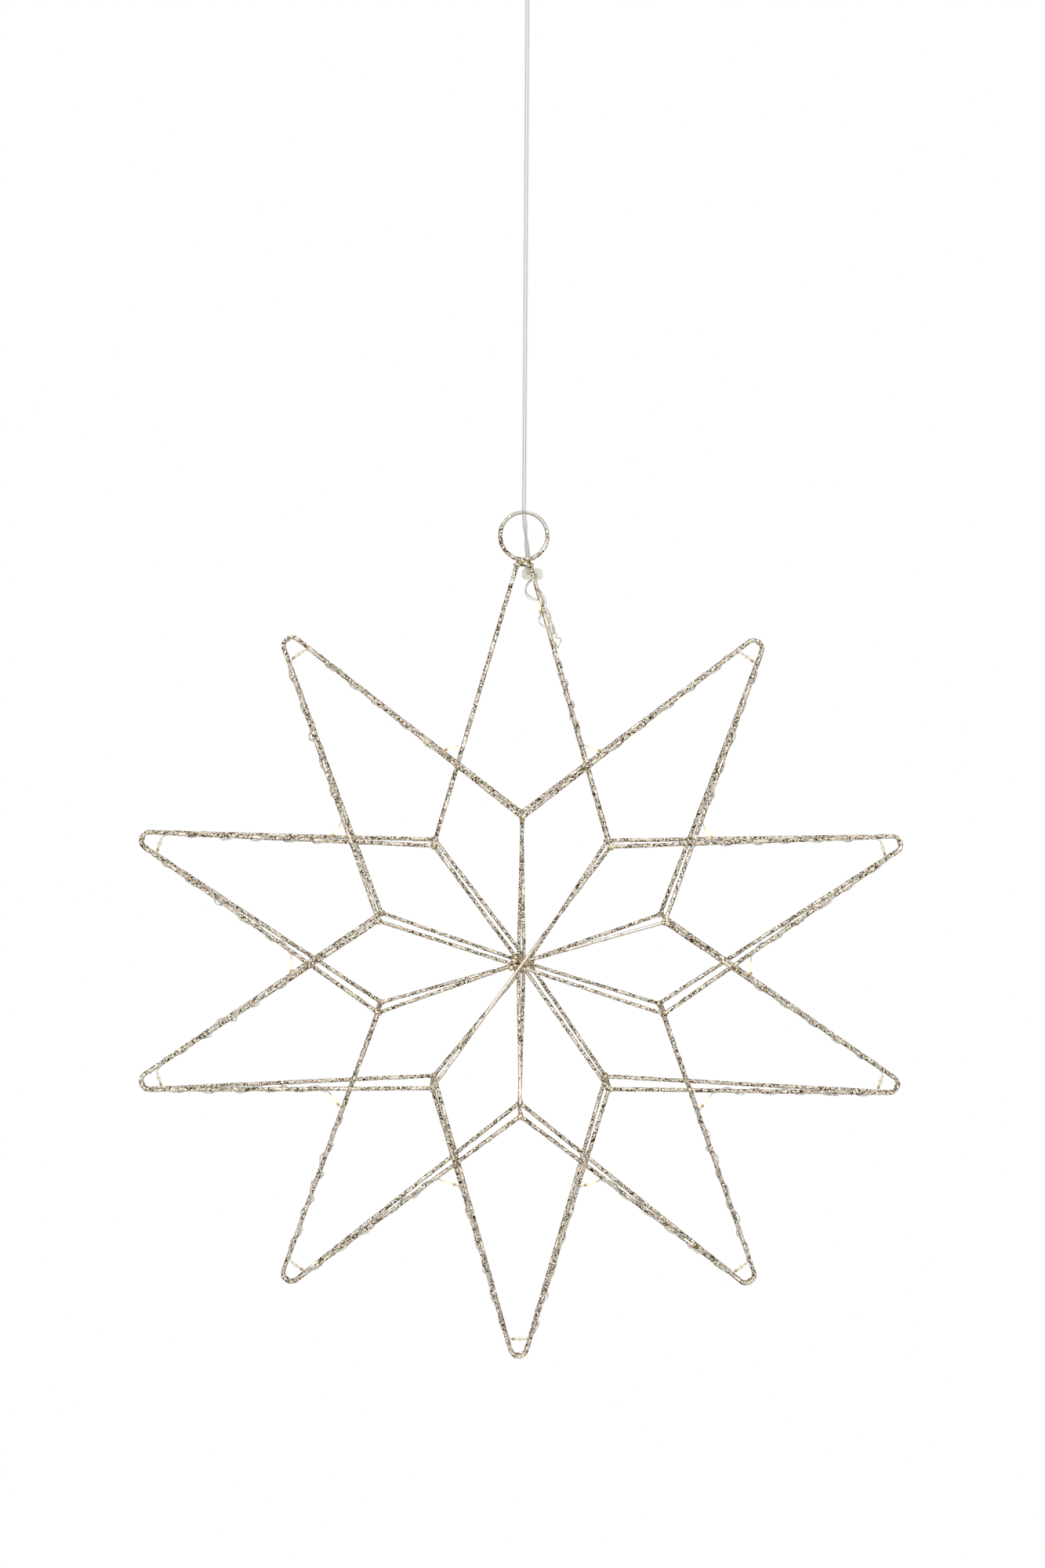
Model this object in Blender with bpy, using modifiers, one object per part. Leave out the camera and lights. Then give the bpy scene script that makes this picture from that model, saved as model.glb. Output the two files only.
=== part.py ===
"""Hanging star: two crossed five-point stars of glittered wire in two layers, wound with lights.

The star hangs by a ring on its own clear cable, which ends above in a loop on a ceiling hook.
+X is right, +Y is away from the viewer, +Z is up, and the origin lies on the ceiling face of the hook.
The ten directions round the hub are counted clockwise from the top, 36 degrees apart: star 0 has its
tips at the even ones and star 1 at the odd ones, and each star's inner corners lie at the other's tips.
"""

import math

import bpy
from mathutils import Vector

MM = 0.001

# Fit: pieces that touch or are welded on the real star keep this gap
TOUCH_GAP = 0.3 * MM

# Wire frame
TIP_RADIUS = 240 * MM  # hub to the outside of a rounded tip
CORNER_RADIUS = 90 * MM  # hub to the wire's centre in an inner corner
LAYER_DEPTH = 45 * MM  # front wire to rear wire at the inner corners, centre to centre
WIRE_DIAMETER = 2.4 * MM
TIP_BEND_RADIUS = 5 * MM
CORNER_BEND_RADIUS = 4 * MM
POINTS_PER_STAR = 5
TIP_BEND_STEPS = 7
CORNER_BEND_STEPS = 4

# Spokes, laid in a pile at the hub
HUB_FLAT_LENGTH = 20 * MM  # the stretch of each spoke that lies flat in the pile
SPOKE_BEND_RADIUS = 15 * MM
SPOKE_BEND_STEPS = 2
PILE_ORDER = (1, 3, 4, 0, 2)  # spokes by their direction, outermost in the pile first

# How far each spoke passes beside the hub, clockwise, in wire diameters
FRONT_SIDE_SHARES = (-0.6, 0.0, 0.0, 0.55, 0.0)
REAR_SIDE_SHARES = (0.7, 1.5, 0.0, 0.0, -1.35)

# Hanging ring, welded on the top tip
RING_OUTER_DIAMETER = 30.4 * MM
RING_WIRE_DIAMETER = 2.4 * MM
RING_STEPS = 40
RING_WIRE_FACETS = 8

# Light string
LED_COUNT = 20
LED_LENGTH = 7 * MM
LED_DIAMETER = 2.3 * MM
STRAND_DIAMETER = 1 * MM
WINDING_TURNS = 4.5  # turns round the wire from one drop to the next
CURL_POINTS = 8
SPAN_CLEARANCE = 3.5 * MM  # the end of a drop to the middle of the wire beside it
FIRST_LED_DROP = 40 * MM  # along the leg, from the top tip's sharp point to the first drop
FIRST_LED_TURN_SHARE = 0.5  # half a turn from the notch side: the first drop lies inside the tip

# Connector where the cable meets the light string
CONNECTOR_WIDTH = 12.5 * MM
CONNECTOR_DEPTH = 4.5 * MM
CONNECTOR_HEIGHT = 7 * MM
CONNECTOR_EDGE = 1.2 * MM
CONNECTOR_SHIFT = 5.4 * MM  # hub line to the connector's middle, to the right
CONNECTOR_DROP = 3.8 * MM  # top of the star to the top of the connector
LEAD_LOOP_REACH = 6 * MM  # how far the thin lead under the connector bows out to the left
LEAD_LOOP_STEPS = 9

# Cable
CABLE_DIAMETER = 3 * MM
CABLE_STEP_SHARE = 2.5  # spacing of a cable's points, in cable diameters
SWIVEL_RISE = 5 * MM  # top of the ring to the point where the cable twists
CABLE_ENTRY_SHIFT = 2.5 * MM  # hub line to the cable's entry in the connector
CABLE_ENTRY_LENGTH = 2 * MM

# Loop and clip at the cable's upper end
LOOP_HEIGHT = 30 * MM
LOOP_SPREAD = 8 * MM
LOOP_SHOULDER = 14 * MM  # height at which the loop's legs start to part
LOOP_STEPS = 12
CLIP_WIDTH = 9 * MM
CLIP_DEPTH = 6 * MM
CLIP_HEIGHT = 8 * MM
CLIP_EDGE = 1 * MM

# Ceiling hook
HOOK_BASE_DIAMETER = 16 * MM
HOOK_BASE_THICKNESS = 2.5 * MM
HOOK_BASE_EDGE = 0.5 * MM
HOOK_WIRE_DIAMETER = 3 * MM
HOOK_BEND_RADIUS = 6 * MM
HOOK_REACH = 14 * MM  # ceiling to the middle of the hook's bend
HOOK_NECK_LENGTH = 2.5 * MM
HOOK_START_DEG = 65
HOOK_END_DEG = -190
HOOK_STEPS = 14

# Drop from the ceiling
HUB_DROP = 636 * MM  # ceiling to the star's hub

# Facets
WIRE_FACETS_RESOLUTION = 2  # eight sides
STRAND_FACETS_RESOLUTION = 1  # six sides
BASE_FACETS = 32
LED_SEGMENTS = 8
LED_RINGS = 6
EDGE_STEPS = 2
SMOOTH_STEPS = 30  # between two points of a route
SETTLE_ROUNDS = 30

# Sizes that follow from those above
DIRECTIONS = 2 * POINTS_PER_STAR
TURN_STEP = 2 * math.pi / DIRECTIONS
WIRE_RADIUS = WIRE_DIAMETER / 2
CABLE_RADIUS = CABLE_DIAMETER / 2
RING_RADIUS = (RING_OUTER_DIAMETER - RING_WIRE_DIAMETER) / 2
WIRE_SPACING = WIRE_DIAMETER + TOUCH_GAP
TIP_CENTRE_RADIUS = TIP_RADIUS - WIRE_RADIUS
WINDING_RADIUS = WIRE_RADIUS + TOUCH_GAP + STRAND_DIAMETER / 2
FRONT = -1
REAR = 1

CHAMPAGNE = (0.63, 0.50, 0.39, 1.0)
CLEAR = (0.90, 0.91, 0.90, 1.0)
MILKY = (0.87, 0.87, 0.80, 1.0)
WARM_LIGHT = (1.0, 0.83, 0.50, 1.0)
HOOK_WHITE = (0.80, 0.80, 0.78, 1.0)


def sharp_shape():
    """Radii where the legs would meet without bends, at tips and corners, and a tip's half angle."""
    tip = TIP_CENTRE_RADIUS
    corner = CORNER_RADIUS
    for _ in range(SETTLE_ROUNDS):
        angle = math.atan2(corner * math.sin(TURN_STEP), tip - corner * math.cos(TURN_STEP))
        tip = TIP_CENTRE_RADIUS + TIP_BEND_RADIUS * (1 / math.sin(angle) - 1)
        corner = CORNER_RADIUS - CORNER_BEND_RADIUS * (1 / math.sin(angle + TURN_STEP) - 1)
    return tip, corner, angle


APEX_RADIUS, VERTEX_RADIUS, TIP_HALF_ANGLE = sharp_shape()
NOTCH_HALF_ANGLE = TIP_HALF_ANGLE + TURN_STEP / 2
CORNER_ALONG_TIP = VERTEX_RADIUS * math.cos(TURN_STEP)
LEAN = (LAYER_DEPTH - WIRE_SPACING) / 2 / (TIP_CENTRE_RADIUS - CORNER_ALONG_TIP)


def layer_offset(along_tip):
    """Distance of a layer's wire from its star's middle plane, at a place along the tip's own direction."""
    return WIRE_SPACING / 2 + LEAN * (TIP_CENTRE_RADIUS - along_tip)


def spot(radius, direction, y=0.0, aside=0.0):
    """A place at a radius from the hub in one of the ten directions, moved aside clockwise."""
    angle = math.pi / 2 - direction * TURN_STEP
    outward = Vector((math.cos(angle), 0.0, math.sin(angle)))
    clockwise = Vector((math.sin(angle), 0.0, -math.cos(angle)))
    return outward * radius + clockwise * aside + Vector((0.0, y, 0.0))


def star_spacing():
    """Shift in depth between the two stars that lets their wires pass each other at a crossing."""
    depth_gain = layer_offset(CORNER_ALONG_TIP) - layer_offset(APEX_RADIUS)
    leg = spot(APEX_RADIUS, 0) - spot(VERTEX_RADIUS, 1, -depth_gain)
    crossing_leg = spot(APEX_RADIUS, 1) - spot(VERTEX_RADIUS, 0, -depth_gain)
    normal = leg.cross(crossing_leg).normalized()
    return WIRE_SPACING / abs(normal.y)


RING_PLANE_Y = CABLE_RADIUS + TOUCH_GAP + RING_WIRE_DIAMETER / 2
STAR_MIDDLES = (RING_PLANE_Y, RING_PLANE_Y - star_spacing())
HUB_Y = sum(STAR_MIDDLES) / len(STAR_MIDDLES)


def tip_star(direction):
    """Which of the two stars has its tip in a direction."""
    return direction % 2


def tip_vertex(direction, layer):
    """The sharp point of a tip."""
    middle = STAR_MIDDLES[tip_star(direction)]
    return spot(APEX_RADIUS, direction, middle + layer * layer_offset(APEX_RADIUS))


def corner_vertex(direction, layer):
    """The sharp point of an inner corner, which belongs to the other star than the tip in its direction."""
    middle = STAR_MIDDLES[tip_star(direction + 1)]
    return spot(VERTEX_RADIUS, direction, middle + layer * layer_offset(CORNER_ALONG_TIP))


def bend(before, corner, after, radius, steps):
    """Points of a round bend of a given radius that replaces the sharp corner between two straight runs."""
    back = (before - corner).normalized()
    ahead = (after - corner).normalized()
    half_angle = back.angle(ahead) / 2
    tangent = radius / math.tan(half_angle)
    centre = corner + (back + ahead).normalized() * (radius / math.sin(half_angle))
    start = (corner + back * tangent - centre).normalized()
    end = (corner + ahead * tangent - centre).normalized()
    return [centre + start.slerp(end, step / steps) * radius for step in range(steps + 1)]


def corner_seat(direction, layer):
    """The wire's centre in the middle of an inner corner's bend."""
    points = bend(tip_vertex(direction - 1, layer), corner_vertex(direction, layer),
                  tip_vertex(direction + 1, layer), CORNER_BEND_RADIUS, 2)
    return points[1]


def smooth_path(route, spacing):
    """Points at an even spacing on a smooth curve through a route's own points."""
    padded = [route[0] * 2 - route[1], *route, route[-1] * 2 - route[-2]]
    fine = []
    for first, second, third, fourth in zip(padded, padded[1:], padded[2:], padded[3:]):
        for step in range(SMOOTH_STEPS):
            t = step / SMOOTH_STEPS
            fine.append(second + (third - first) * t / 2
                        + (first * 2 - second * 5 + third * 4 - fourth) * t * t / 2
                        + (second * 3 - third * 3 + fourth - first) * t * t * t / 2)
    fine.append(route[-1])
    reach = [0.0]
    for here, there in zip(fine, fine[1:]):
        reach.append(reach[-1] + (there - here).length)
    count = max(2, round(reach[-1] / spacing))
    points = []
    place = 0
    for step in range(count + 1):
        wanted = reach[-1] * step / count
        while place < len(reach) - 2 and reach[place + 1] < wanted:
            place += 1
        share = (wanted - reach[place]) / (reach[place + 1] - reach[place])
        points.append(fine[place].lerp(fine[place + 1], min(1.0, share)))
    return points


def bezier(start, start_handle, end_handle, end, steps):
    """Points on a cubic curve between two ends, drawn towards its two handles."""
    points = []
    for step in range(steps + 1):
        t = step / steps
        rest = 1 - t
        points.append(start * rest**3 + start_handle * 3 * rest**2 * t
                      + end_handle * 3 * rest * t**2 + end * t**3)
    return points


def finish(name, colour, roughness, metallic, glow=0.0, alpha=1.0):
    """A plain surface with the piece's colour."""
    material = bpy.data.materials.new(name)
    material.use_nodes = True
    shader = material.node_tree.nodes["Principled BSDF"]
    shader.inputs["Base Color"].default_value = colour
    shader.inputs["Roughness"].default_value = roughness
    shader.inputs["Metallic"].default_value = metallic
    shader.inputs["Alpha"].default_value = alpha
    if glow:
        shader.inputs["Emission Color"].default_value = colour
        shader.inputs["Emission Strength"].default_value = glow
    return material


def glitter(name):
    """Champagne glitter on wire."""
    return finish(name, CHAMPAGNE, roughness=0.35, metallic=0.8)


def clear_plastic(name):
    """The clear insulation of the cable and the strand, also used for the clip."""
    return finish(name, CLEAR, roughness=0.15, metallic=0.0, alpha=0.6)


def settle(shape, parent, parts, surface):
    """Files an object under its parent and among the star's parts, and gives it its surface."""
    for collection in list(shape.users_collection):
        collection.objects.unlink(shape)
    parts.objects.link(shape)
    shape.parent = parent
    shape.data.materials.clear()
    shape.data.materials.append(surface)
    return shape


def tube(name, points, diameter, parent, parts, surface, closed=False, resolution=WIRE_FACETS_RESOLUTION):
    """A round wire or cable along a run of points."""
    curve = bpy.data.curves.new(name, "CURVE")
    curve.dimensions = "3D"
    curve.bevel_depth = diameter / 2
    curve.bevel_resolution = resolution
    curve.use_fill_caps = not closed
    spline = curve.splines.new("POLY")
    spline.points.add(len(points) - 1)
    for point, place in zip(spline.points, points):
        point.co = (*place, 1.0)
    spline.use_cyclic_u = closed
    spline.use_smooth = True
    shape = bpy.data.objects.new(name, curve)
    parts.objects.link(shape)
    return settle(shape, parent, parts, surface)


def soft_block(name, size, edge, place, parent, parts, surface):
    """A moulded block with rounded edges."""
    bpy.ops.mesh.primitive_cube_add(size=1, location=place)
    shape = bpy.context.object
    shape.name = name
    shape.scale = size
    bpy.ops.object.transform_apply(location=False, rotation=False, scale=True)
    rounding = shape.modifiers.new("edges", "BEVEL")
    rounding.width = edge
    rounding.segments = EDGE_STEPS
    return settle(shape, parent, parts, surface)


def make_outlines(hub, parts):
    """Four closed wires: a front and a rear outline of each star."""
    for layer, layer_name in ((FRONT, "front"), (REAR, "rear")):
        for star, star_name in ((0, "a"), (1, "b")):
            points = []
            for tip in range(star, DIRECTIONS, 2):
                tip_point = tip_vertex(tip, layer)
                last_corner = corner_vertex(tip - 1, layer)
                next_corner = corner_vertex(tip + 1, layer)
                next_tip = tip_vertex(tip + 2, layer)
                points += bend(last_corner, tip_point, next_corner, TIP_BEND_RADIUS, TIP_BEND_STEPS)
                points += bend(tip_point, next_corner, next_tip, CORNER_BEND_RADIUS, CORNER_BEND_STEPS)
            name = f"{layer_name}_outline_{star_name}"
            tube(name, points, WIRE_DIAMETER, hub, parts, glitter(name), closed=True)


def make_spokes(hub, parts):
    """Ten straight wires from corner to corner, five before and five behind the middle of the pile."""
    end_radius = CORNER_RADIUS - WIRE_RADIUS - TOUCH_GAP
    layers = ((FRONT, "front", FRONT_SIDE_SHARES), (REAR, "rear", REAR_SIDE_SHARES))
    for layer, layer_name, side_shares in layers:
        for direction in range(POINTS_PER_STAR):
            level = len(PILE_ORDER) - PILE_ORDER.index(direction) - 1
            y = HUB_Y + layer * (level * WIRE_SPACING + WIRE_SPACING / 2)
            aside = side_shares[direction] * WIRE_DIAMETER
            opposite = direction + POINTS_PER_STAR
            start = spot(end_radius, direction, corner_seat(direction, layer).y)
            end = spot(end_radius, opposite, corner_seat(opposite, layer).y)
            flat_start = spot(HUB_FLAT_LENGTH / 2, direction, y, aside)
            flat_end = spot(-HUB_FLAT_LENGTH / 2, direction, y, aside)
            points = [start]
            points += bend(start, flat_start, flat_end, SPOKE_BEND_RADIUS, SPOKE_BEND_STEPS)
            points += bend(flat_start, flat_end, end, SPOKE_BEND_RADIUS, SPOKE_BEND_STEPS)
            points.append(end)
            name = f"{layer_name}_spoke_{direction + 1}"
            tube(name, points, WIRE_DIAMETER, hub, parts, glitter(name))


def make_spacers(hub, parts):
    """Ten short rods that hold the two layers apart at the inner corners."""
    for direction in range(DIRECTIONS):
        front = corner_seat(direction, FRONT)
        rear = corner_seat(direction, REAR)
        inset = (rear - front).normalized() * (WIRE_RADIUS + TOUCH_GAP)
        name = f"spacer_rod_{direction + 1:02d}"
        tube(name, [front + inset, rear - inset], WIRE_DIAMETER, hub, parts, glitter(name))


def ring_centre_height():
    """Height of the ring's centre over the hub: its wire nests on the two wires of the top tip."""
    touching = (WIRE_DIAMETER + RING_WIRE_DIAMETER) / 2 + TOUCH_GAP
    nesting = math.sqrt(touching**2 - layer_offset(TIP_CENTRE_RADIUS)**2)
    return TIP_CENTRE_RADIUS + nesting + RING_RADIUS


def make_ring(hub, parts):
    """The round wire ring on the top tip."""
    bpy.ops.mesh.primitive_torus_add(major_radius=RING_RADIUS, minor_radius=RING_WIRE_DIAMETER / 2,
                                     major_segments=RING_STEPS, minor_segments=RING_WIRE_FACETS,
                                     location=(0.0, RING_PLANE_Y, ring_centre_height()),
                                     rotation=(math.pi / 2, 0.0, 0.0))
    ring = bpy.context.object
    ring.name = "hanging_ring"
    ring.data.shade_smooth()
    settle(ring, hub, parts, glitter("hanging_ring"))


class Leg:
    """The straight run of a tip's front wire, from the crossing beside it to its sharp point.

    aside is +1 for the leg clockwise of the tip and -1 for the other one.
    """

    def __init__(self, tip, aside):
        apex = tip_vertex(tip, FRONT)
        corner = corner_vertex(tip + aside, FRONT)
        self.along = (apex - corner).normalized()
        reach = APEX_RADIUS - CORNER_ALONG_TIP
        rise = VERTEX_RADIUS * math.sin(TURN_STEP)
        slope = math.tan(TURN_STEP / 2)
        share = (rise - slope * CORNER_ALONG_TIP) / (rise + slope * reach)
        self.crossing = corner.lerp(apex, share)
        self.length = (apex - self.crossing).length
        clockwise = spot(0, tip, aside=aside)
        self.notch_side = (clockwise - self.along * clockwise.dot(self.along)).normalized()
        front = self.along.cross(self.notch_side)
        self.front = -front if front.y > 0 else front

    def at(self, distance, turn, radius):
        """A place beside the wire, at a distance past the crossing and a turn from the notch side."""
        angle = 2 * math.pi * turn
        return (self.crossing + self.along * distance
                + (self.notch_side * math.cos(angle) + self.front * math.sin(angle)) * radius)

    def distance_of(self, place):
        """How far past the crossing a place lies."""
        return (place - self.crossing).dot(self.along)


class Seat:
    """The straight stretch of strand that carries one light: its middle and the direction of its length."""

    def __init__(self, middle, along):
        self.middle = middle
        self.along = along
        self.light_middle = middle + Vector((0.0, -(LED_DIAMETER + STRAND_DIAMETER) / 2 - TOUCH_GAP, 0.0))

    def end_towards(self, place, other=False):
        """The end of the stretch that is nearer to a place, or the other one."""
        way = self.along if (place - self.middle).dot(self.along) > 0 else -self.along
        return self.middle + way * (-LED_LENGTH / 2 if other else LED_LENGTH / 2)


def span_distance(half_angle):
    """How far from the point where two legs meet a light fits between them."""
    half_width = LED_LENGTH / 2 + SPAN_CLEARANCE / math.cos(half_angle)
    return half_width / math.tan(half_angle)


def light_seats():
    """The lights in order: one on the top tip's right leg, then by turns in a notch and in a tip."""
    first_leg = Leg(0, 1)
    first_distance = first_leg.length - FIRST_LED_DROP
    seats = [Seat(first_leg.at(first_distance, FIRST_LED_TURN_SHARE, WINDING_RADIUS), first_leg.along)]
    crossing_radius = math.hypot(first_leg.crossing.x, first_leg.crossing.z)
    notch_radius = crossing_radius + span_distance(NOTCH_HALF_ANGLE)
    tip_radius = APEX_RADIUS - span_distance(TIP_HALF_ANGLE)
    notch_y = HUB_Y + FRONT * layer_offset(crossing_radius * math.cos(TURN_STEP / 2))
    for number in range(1, LED_COUNT):
        direction = number / 2
        along = spot(0, direction, aside=1)
        if number % 2:
            middle = spot(notch_radius, direction, notch_y)
        else:
            tip_y = STAR_MIDDLES[tip_star(number // 2)] + FRONT * layer_offset(tip_radius)
            middle = spot(tip_radius, direction, tip_y)
        seats.append(Seat(middle, along))
    return seats


def wound_run(leg, notch_seat, tip_seat):
    """The strand between two lights: out of the notch, round the wire in even turns, and into the tip."""
    leg_middle = leg.crossing + leg.along * leg.length / 2
    start = notch_seat.end_towards(leg_middle)
    end = tip_seat.end_towards(leg_middle)
    start_distance = leg.distance_of(start)
    end_distance = leg.distance_of(end)
    count = round(WINDING_TURNS * CURL_POINTS)
    points = [start]
    for step in range(1, count):
        share = step / count
        distance = start_distance + (end_distance - start_distance) * share
        points.append(leg.at(distance, WINDING_TURNS * share, WINDING_RADIUS))
    points.append(end)
    return points


def connector_middle():
    """The connector stands close behind the rear wire of the top tip's right leg."""
    bottom = TIP_RADIUS - CONNECTOR_DROP - CONNECTOR_HEIGHT
    wire_back = STAR_MIDDLES[0] + layer_offset(bottom) + WIRE_RADIUS / math.cos(math.atan(LEAN))
    y = wire_back + TOUCH_GAP + CONNECTOR_DEPTH / 2
    return Vector((CONNECTOR_SHIFT, y, bottom + CONNECTOR_HEIGHT / 2))


def first_lead(first_seat):
    """The thin lead that bows out under the connector and comes forward to the first light."""
    middle = connector_middle()
    start = middle - Vector((0.0, 0.0, CONNECTOR_HEIGHT / 2 + TOUCH_GAP))
    end = first_seat.end_towards(middle)
    reach = (start - end).length
    way = (end - first_seat.middle).normalized()
    start_handle = start - Vector((LEAD_LOOP_REACH, 0.0, reach / 2))
    end_handle = end + way * reach / 2 - Vector((LEAD_LOOP_REACH, 0.0, 0.0))
    return bezier(start, start_handle, end_handle, end, LEAD_LOOP_STEPS)


def strand_path(seats):
    """The whole strand: from the connector past every light, wound round the wire between them."""
    points = first_lead(seats[0])
    for number in range(1, LED_COUNT):
        notch_number = number if number % 2 else number - 1
        tip_number = number - 1 if number % 2 else number
        leg = Leg(tip_number // 2, notch_number - tip_number)
        run = wound_run(leg, seats[notch_number], seats[tip_number])
        points += run if tip_number == number else run[::-1]
    points.append(seats[-1].end_towards(points[-1], other=True))
    return points


def least_gap_to_itself(points, diameter):
    """Smallest free gap between places on a tube that lie at least half a curl apart along it."""
    apart = CURL_POINTS // 2
    nearest = math.inf
    for number, place in enumerate(points):
        for other in points[number + apart:]:
            nearest = min(nearest, (place - other).length)
    return nearest - diameter


def make_light_string(hub, parts):
    """One unbroken strand, and a drop in front of it at each of its seats."""
    seats = light_seats()
    points = strand_path(seats)
    gap = least_gap_to_itself(points, STRAND_DIAMETER)
    print(f"light string: {len(points)} points, least gap to itself {gap / MM:.2f} mm")
    tube("light_strand", points, STRAND_DIAMETER, hub, parts, clear_plastic("light_strand"),
         resolution=STRAND_FACETS_RESOLUTION)
    for number, seat in enumerate(seats, start=1):
        name = f"led_drop_{number:02d}"
        bpy.ops.mesh.primitive_uv_sphere_add(segments=LED_SEGMENTS, ring_count=LED_RINGS,
                                             radius=LED_DIAMETER / 2, location=seat.light_middle,
                                             rotation=seat.along.to_track_quat("Z", "Y").to_euler())
        shape = bpy.context.object
        shape.name = name
        shape.scale = (1, 1, LED_LENGTH / LED_DIAMETER)
        bpy.ops.object.transform_apply(location=False, rotation=False, scale=True)
        shape.data.shade_smooth()
        settle(shape, hub, parts, finish(name, WARM_LIGHT, roughness=0.2, metallic=0.0, glow=1.5))


def make_connector(hub, parts):
    """The moulded block in which the cable meets the light string."""
    size = (CONNECTOR_WIDTH, CONNECTOR_DEPTH, CONNECTOR_HEIGHT)
    surface = finish("connector_block", MILKY, roughness=0.4, metallic=0.0)
    soft_block("connector_block", size, CONNECTOR_EDGE, connector_middle(), hub, parts, surface)


def swivel_height():
    """Height over the hub of the place where the cable twists, just above the ring."""
    return ring_centre_height() + RING_OUTER_DIAMETER / 2 + SWIVEL_RISE


def make_ring_cable(hub, parts):
    """The cable through the ring: before its top, behind its bottom, into the connector's top."""
    ring_top = ring_centre_height() + RING_RADIUS
    entry = connector_middle()
    entry.x = CABLE_ENTRY_SHIFT
    entry.z += CONNECTOR_HEIGHT / 2 + TOUCH_GAP
    behind_ring = RING_PLANE_Y + RING_WIRE_DIAMETER / 2 + TOUCH_GAP + CABLE_DIAMETER
    route = [
        Vector((0.0, 0.0, swivel_height() - TOUCH_GAP)),
        Vector((0.0, 0.0, ring_top)),
        Vector((CABLE_ENTRY_SHIFT / 2, behind_ring / 2, ring_top - RING_RADIUS)),
        Vector((CABLE_ENTRY_SHIFT, behind_ring, ring_top - 2 * RING_RADIUS + RING_WIRE_DIAMETER)),
        entry + Vector((0.0, 0.0, CABLE_ENTRY_LENGTH)),
        entry,
    ]
    points = smooth_path(route, CABLE_DIAMETER)
    tube("ring_cable", points, CABLE_DIAMETER, hub, parts, clear_plastic("ring_cable"))


def loop_seat_height():
    """Height of the loop's wire where it lies in the hook's bend."""
    return -HOOK_REACH - HOOK_BEND_RADIUS + HOOK_WIRE_DIAMETER / 2 + TOUCH_GAP + CABLE_RADIUS


def clip_top():
    """Height of the clip's top face, just under the loop's ends."""
    return loop_seat_height() - LOOP_HEIGHT - TOUCH_GAP


def make_cord(swing, swing_height, swivel, parts):
    """The straight cable, the clip at its top, and the loop that the clip closes."""
    leg_shift = CABLE_RADIUS + TOUCH_GAP
    loop_foot = loop_seat_height() - LOOP_HEIGHT - swing_height
    loop_top = loop_seat_height() - swing_height
    foot = Vector((-leg_shift, 0.0, loop_foot))
    shoulder = Vector((-leg_shift, 0.0, loop_foot + LOOP_SHOULDER))
    half = bezier(foot, shoulder, Vector((-LOOP_SPREAD, 0.0, loop_top)),
                  Vector((0.0, 0.0, loop_top)), LOOP_STEPS)
    other_half = [Vector((-point.x, point.y, point.z)) for point in reversed(half[:-1])]
    tube("cable_loop", half + other_half, CABLE_DIAMETER, swing, parts, clear_plastic("cable_loop"))
    clip_middle = Vector((0.0, 0.0, clip_top() - CLIP_HEIGHT / 2 - swing_height))
    soft_block("loop_clip", (CLIP_WIDTH, CLIP_DEPTH, CLIP_HEIGHT), CLIP_EDGE, clip_middle, swing, parts,
               clear_plastic("loop_clip"))
    top = Vector((0.0, 0.0, clip_top() - CLIP_HEIGHT - TOUCH_GAP - swing_height))
    bottom = Vector((0.0, 0.0, swivel - swing_height))
    points = smooth_path([top, (top + bottom) / 2, bottom], CABLE_DIAMETER * CABLE_STEP_SHARE)
    tube("hanging_cable", points, CABLE_DIAMETER, swing, parts, clear_plastic("hanging_cable"))


def make_hook(parts):
    """A small ceiling hook: a round base and a bent wire under it."""
    bpy.ops.mesh.primitive_cylinder_add(vertices=BASE_FACETS, radius=HOOK_BASE_DIAMETER / 2,
                                        depth=HOOK_BASE_THICKNESS,
                                        location=(0.0, 0.0, -HOOK_BASE_THICKNESS / 2))
    base = bpy.context.object
    base.name = "hook_base"
    rounding = base.modifiers.new("edge", "BEVEL")
    rounding.width = HOOK_BASE_EDGE
    rounding.segments = EDGE_STEPS
    settle(base, None, parts, finish("hook_base", HOOK_WHITE, roughness=0.4, metallic=0.0))
    neck_top = -HOOK_BASE_THICKNESS - TOUCH_GAP
    points = [Vector((0.0, 0.0, neck_top)), Vector((0.0, 0.0, neck_top - HOOK_NECK_LENGTH))]
    for step in range(HOOK_STEPS + 1):
        angle = math.radians(HOOK_START_DEG + (HOOK_END_DEG - HOOK_START_DEG) * step / HOOK_STEPS)
        points.append(Vector((0.0, HOOK_BEND_RADIUS * math.cos(angle),
                              HOOK_BEND_RADIUS * math.sin(angle) - HOOK_REACH)))
    tube("hook_wire", points, HOOK_WIRE_DIAMETER, None, parts,
         finish("hook_wire", HOOK_WHITE, roughness=0.4, metallic=0.0))


def main():
    """Clears the file, places the two axes' empties and builds every part."""
    for shape in list(bpy.data.objects):
        bpy.data.objects.remove(shape, do_unlink=True)
    parts = bpy.data.collections.new("hanging_star")
    bpy.context.scene.collection.children.link(parts)
    swing_height = -HOOK_REACH - HOOK_BEND_RADIUS
    swivel = swivel_height() - HUB_DROP
    swing = bpy.data.objects.new("swing_axis", None)
    swing.location = (0.0, 0.0, swing_height)
    parts.objects.link(swing)
    hub = bpy.data.objects.new("hub_height_on_swivel_axis", None)
    hub.location = (0.0, 0.0, -HUB_DROP - swing_height)
    hub.parent = swing
    parts.objects.link(hub)
    make_outlines(hub, parts)
    make_spokes(hub, parts)
    make_spacers(hub, parts)
    make_ring(hub, parts)
    make_light_string(hub, parts)
    make_connector(hub, parts)
    make_ring_cable(hub, parts)
    make_cord(swing, swing_height, swivel, parts)
    make_hook(parts)


main()
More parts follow.
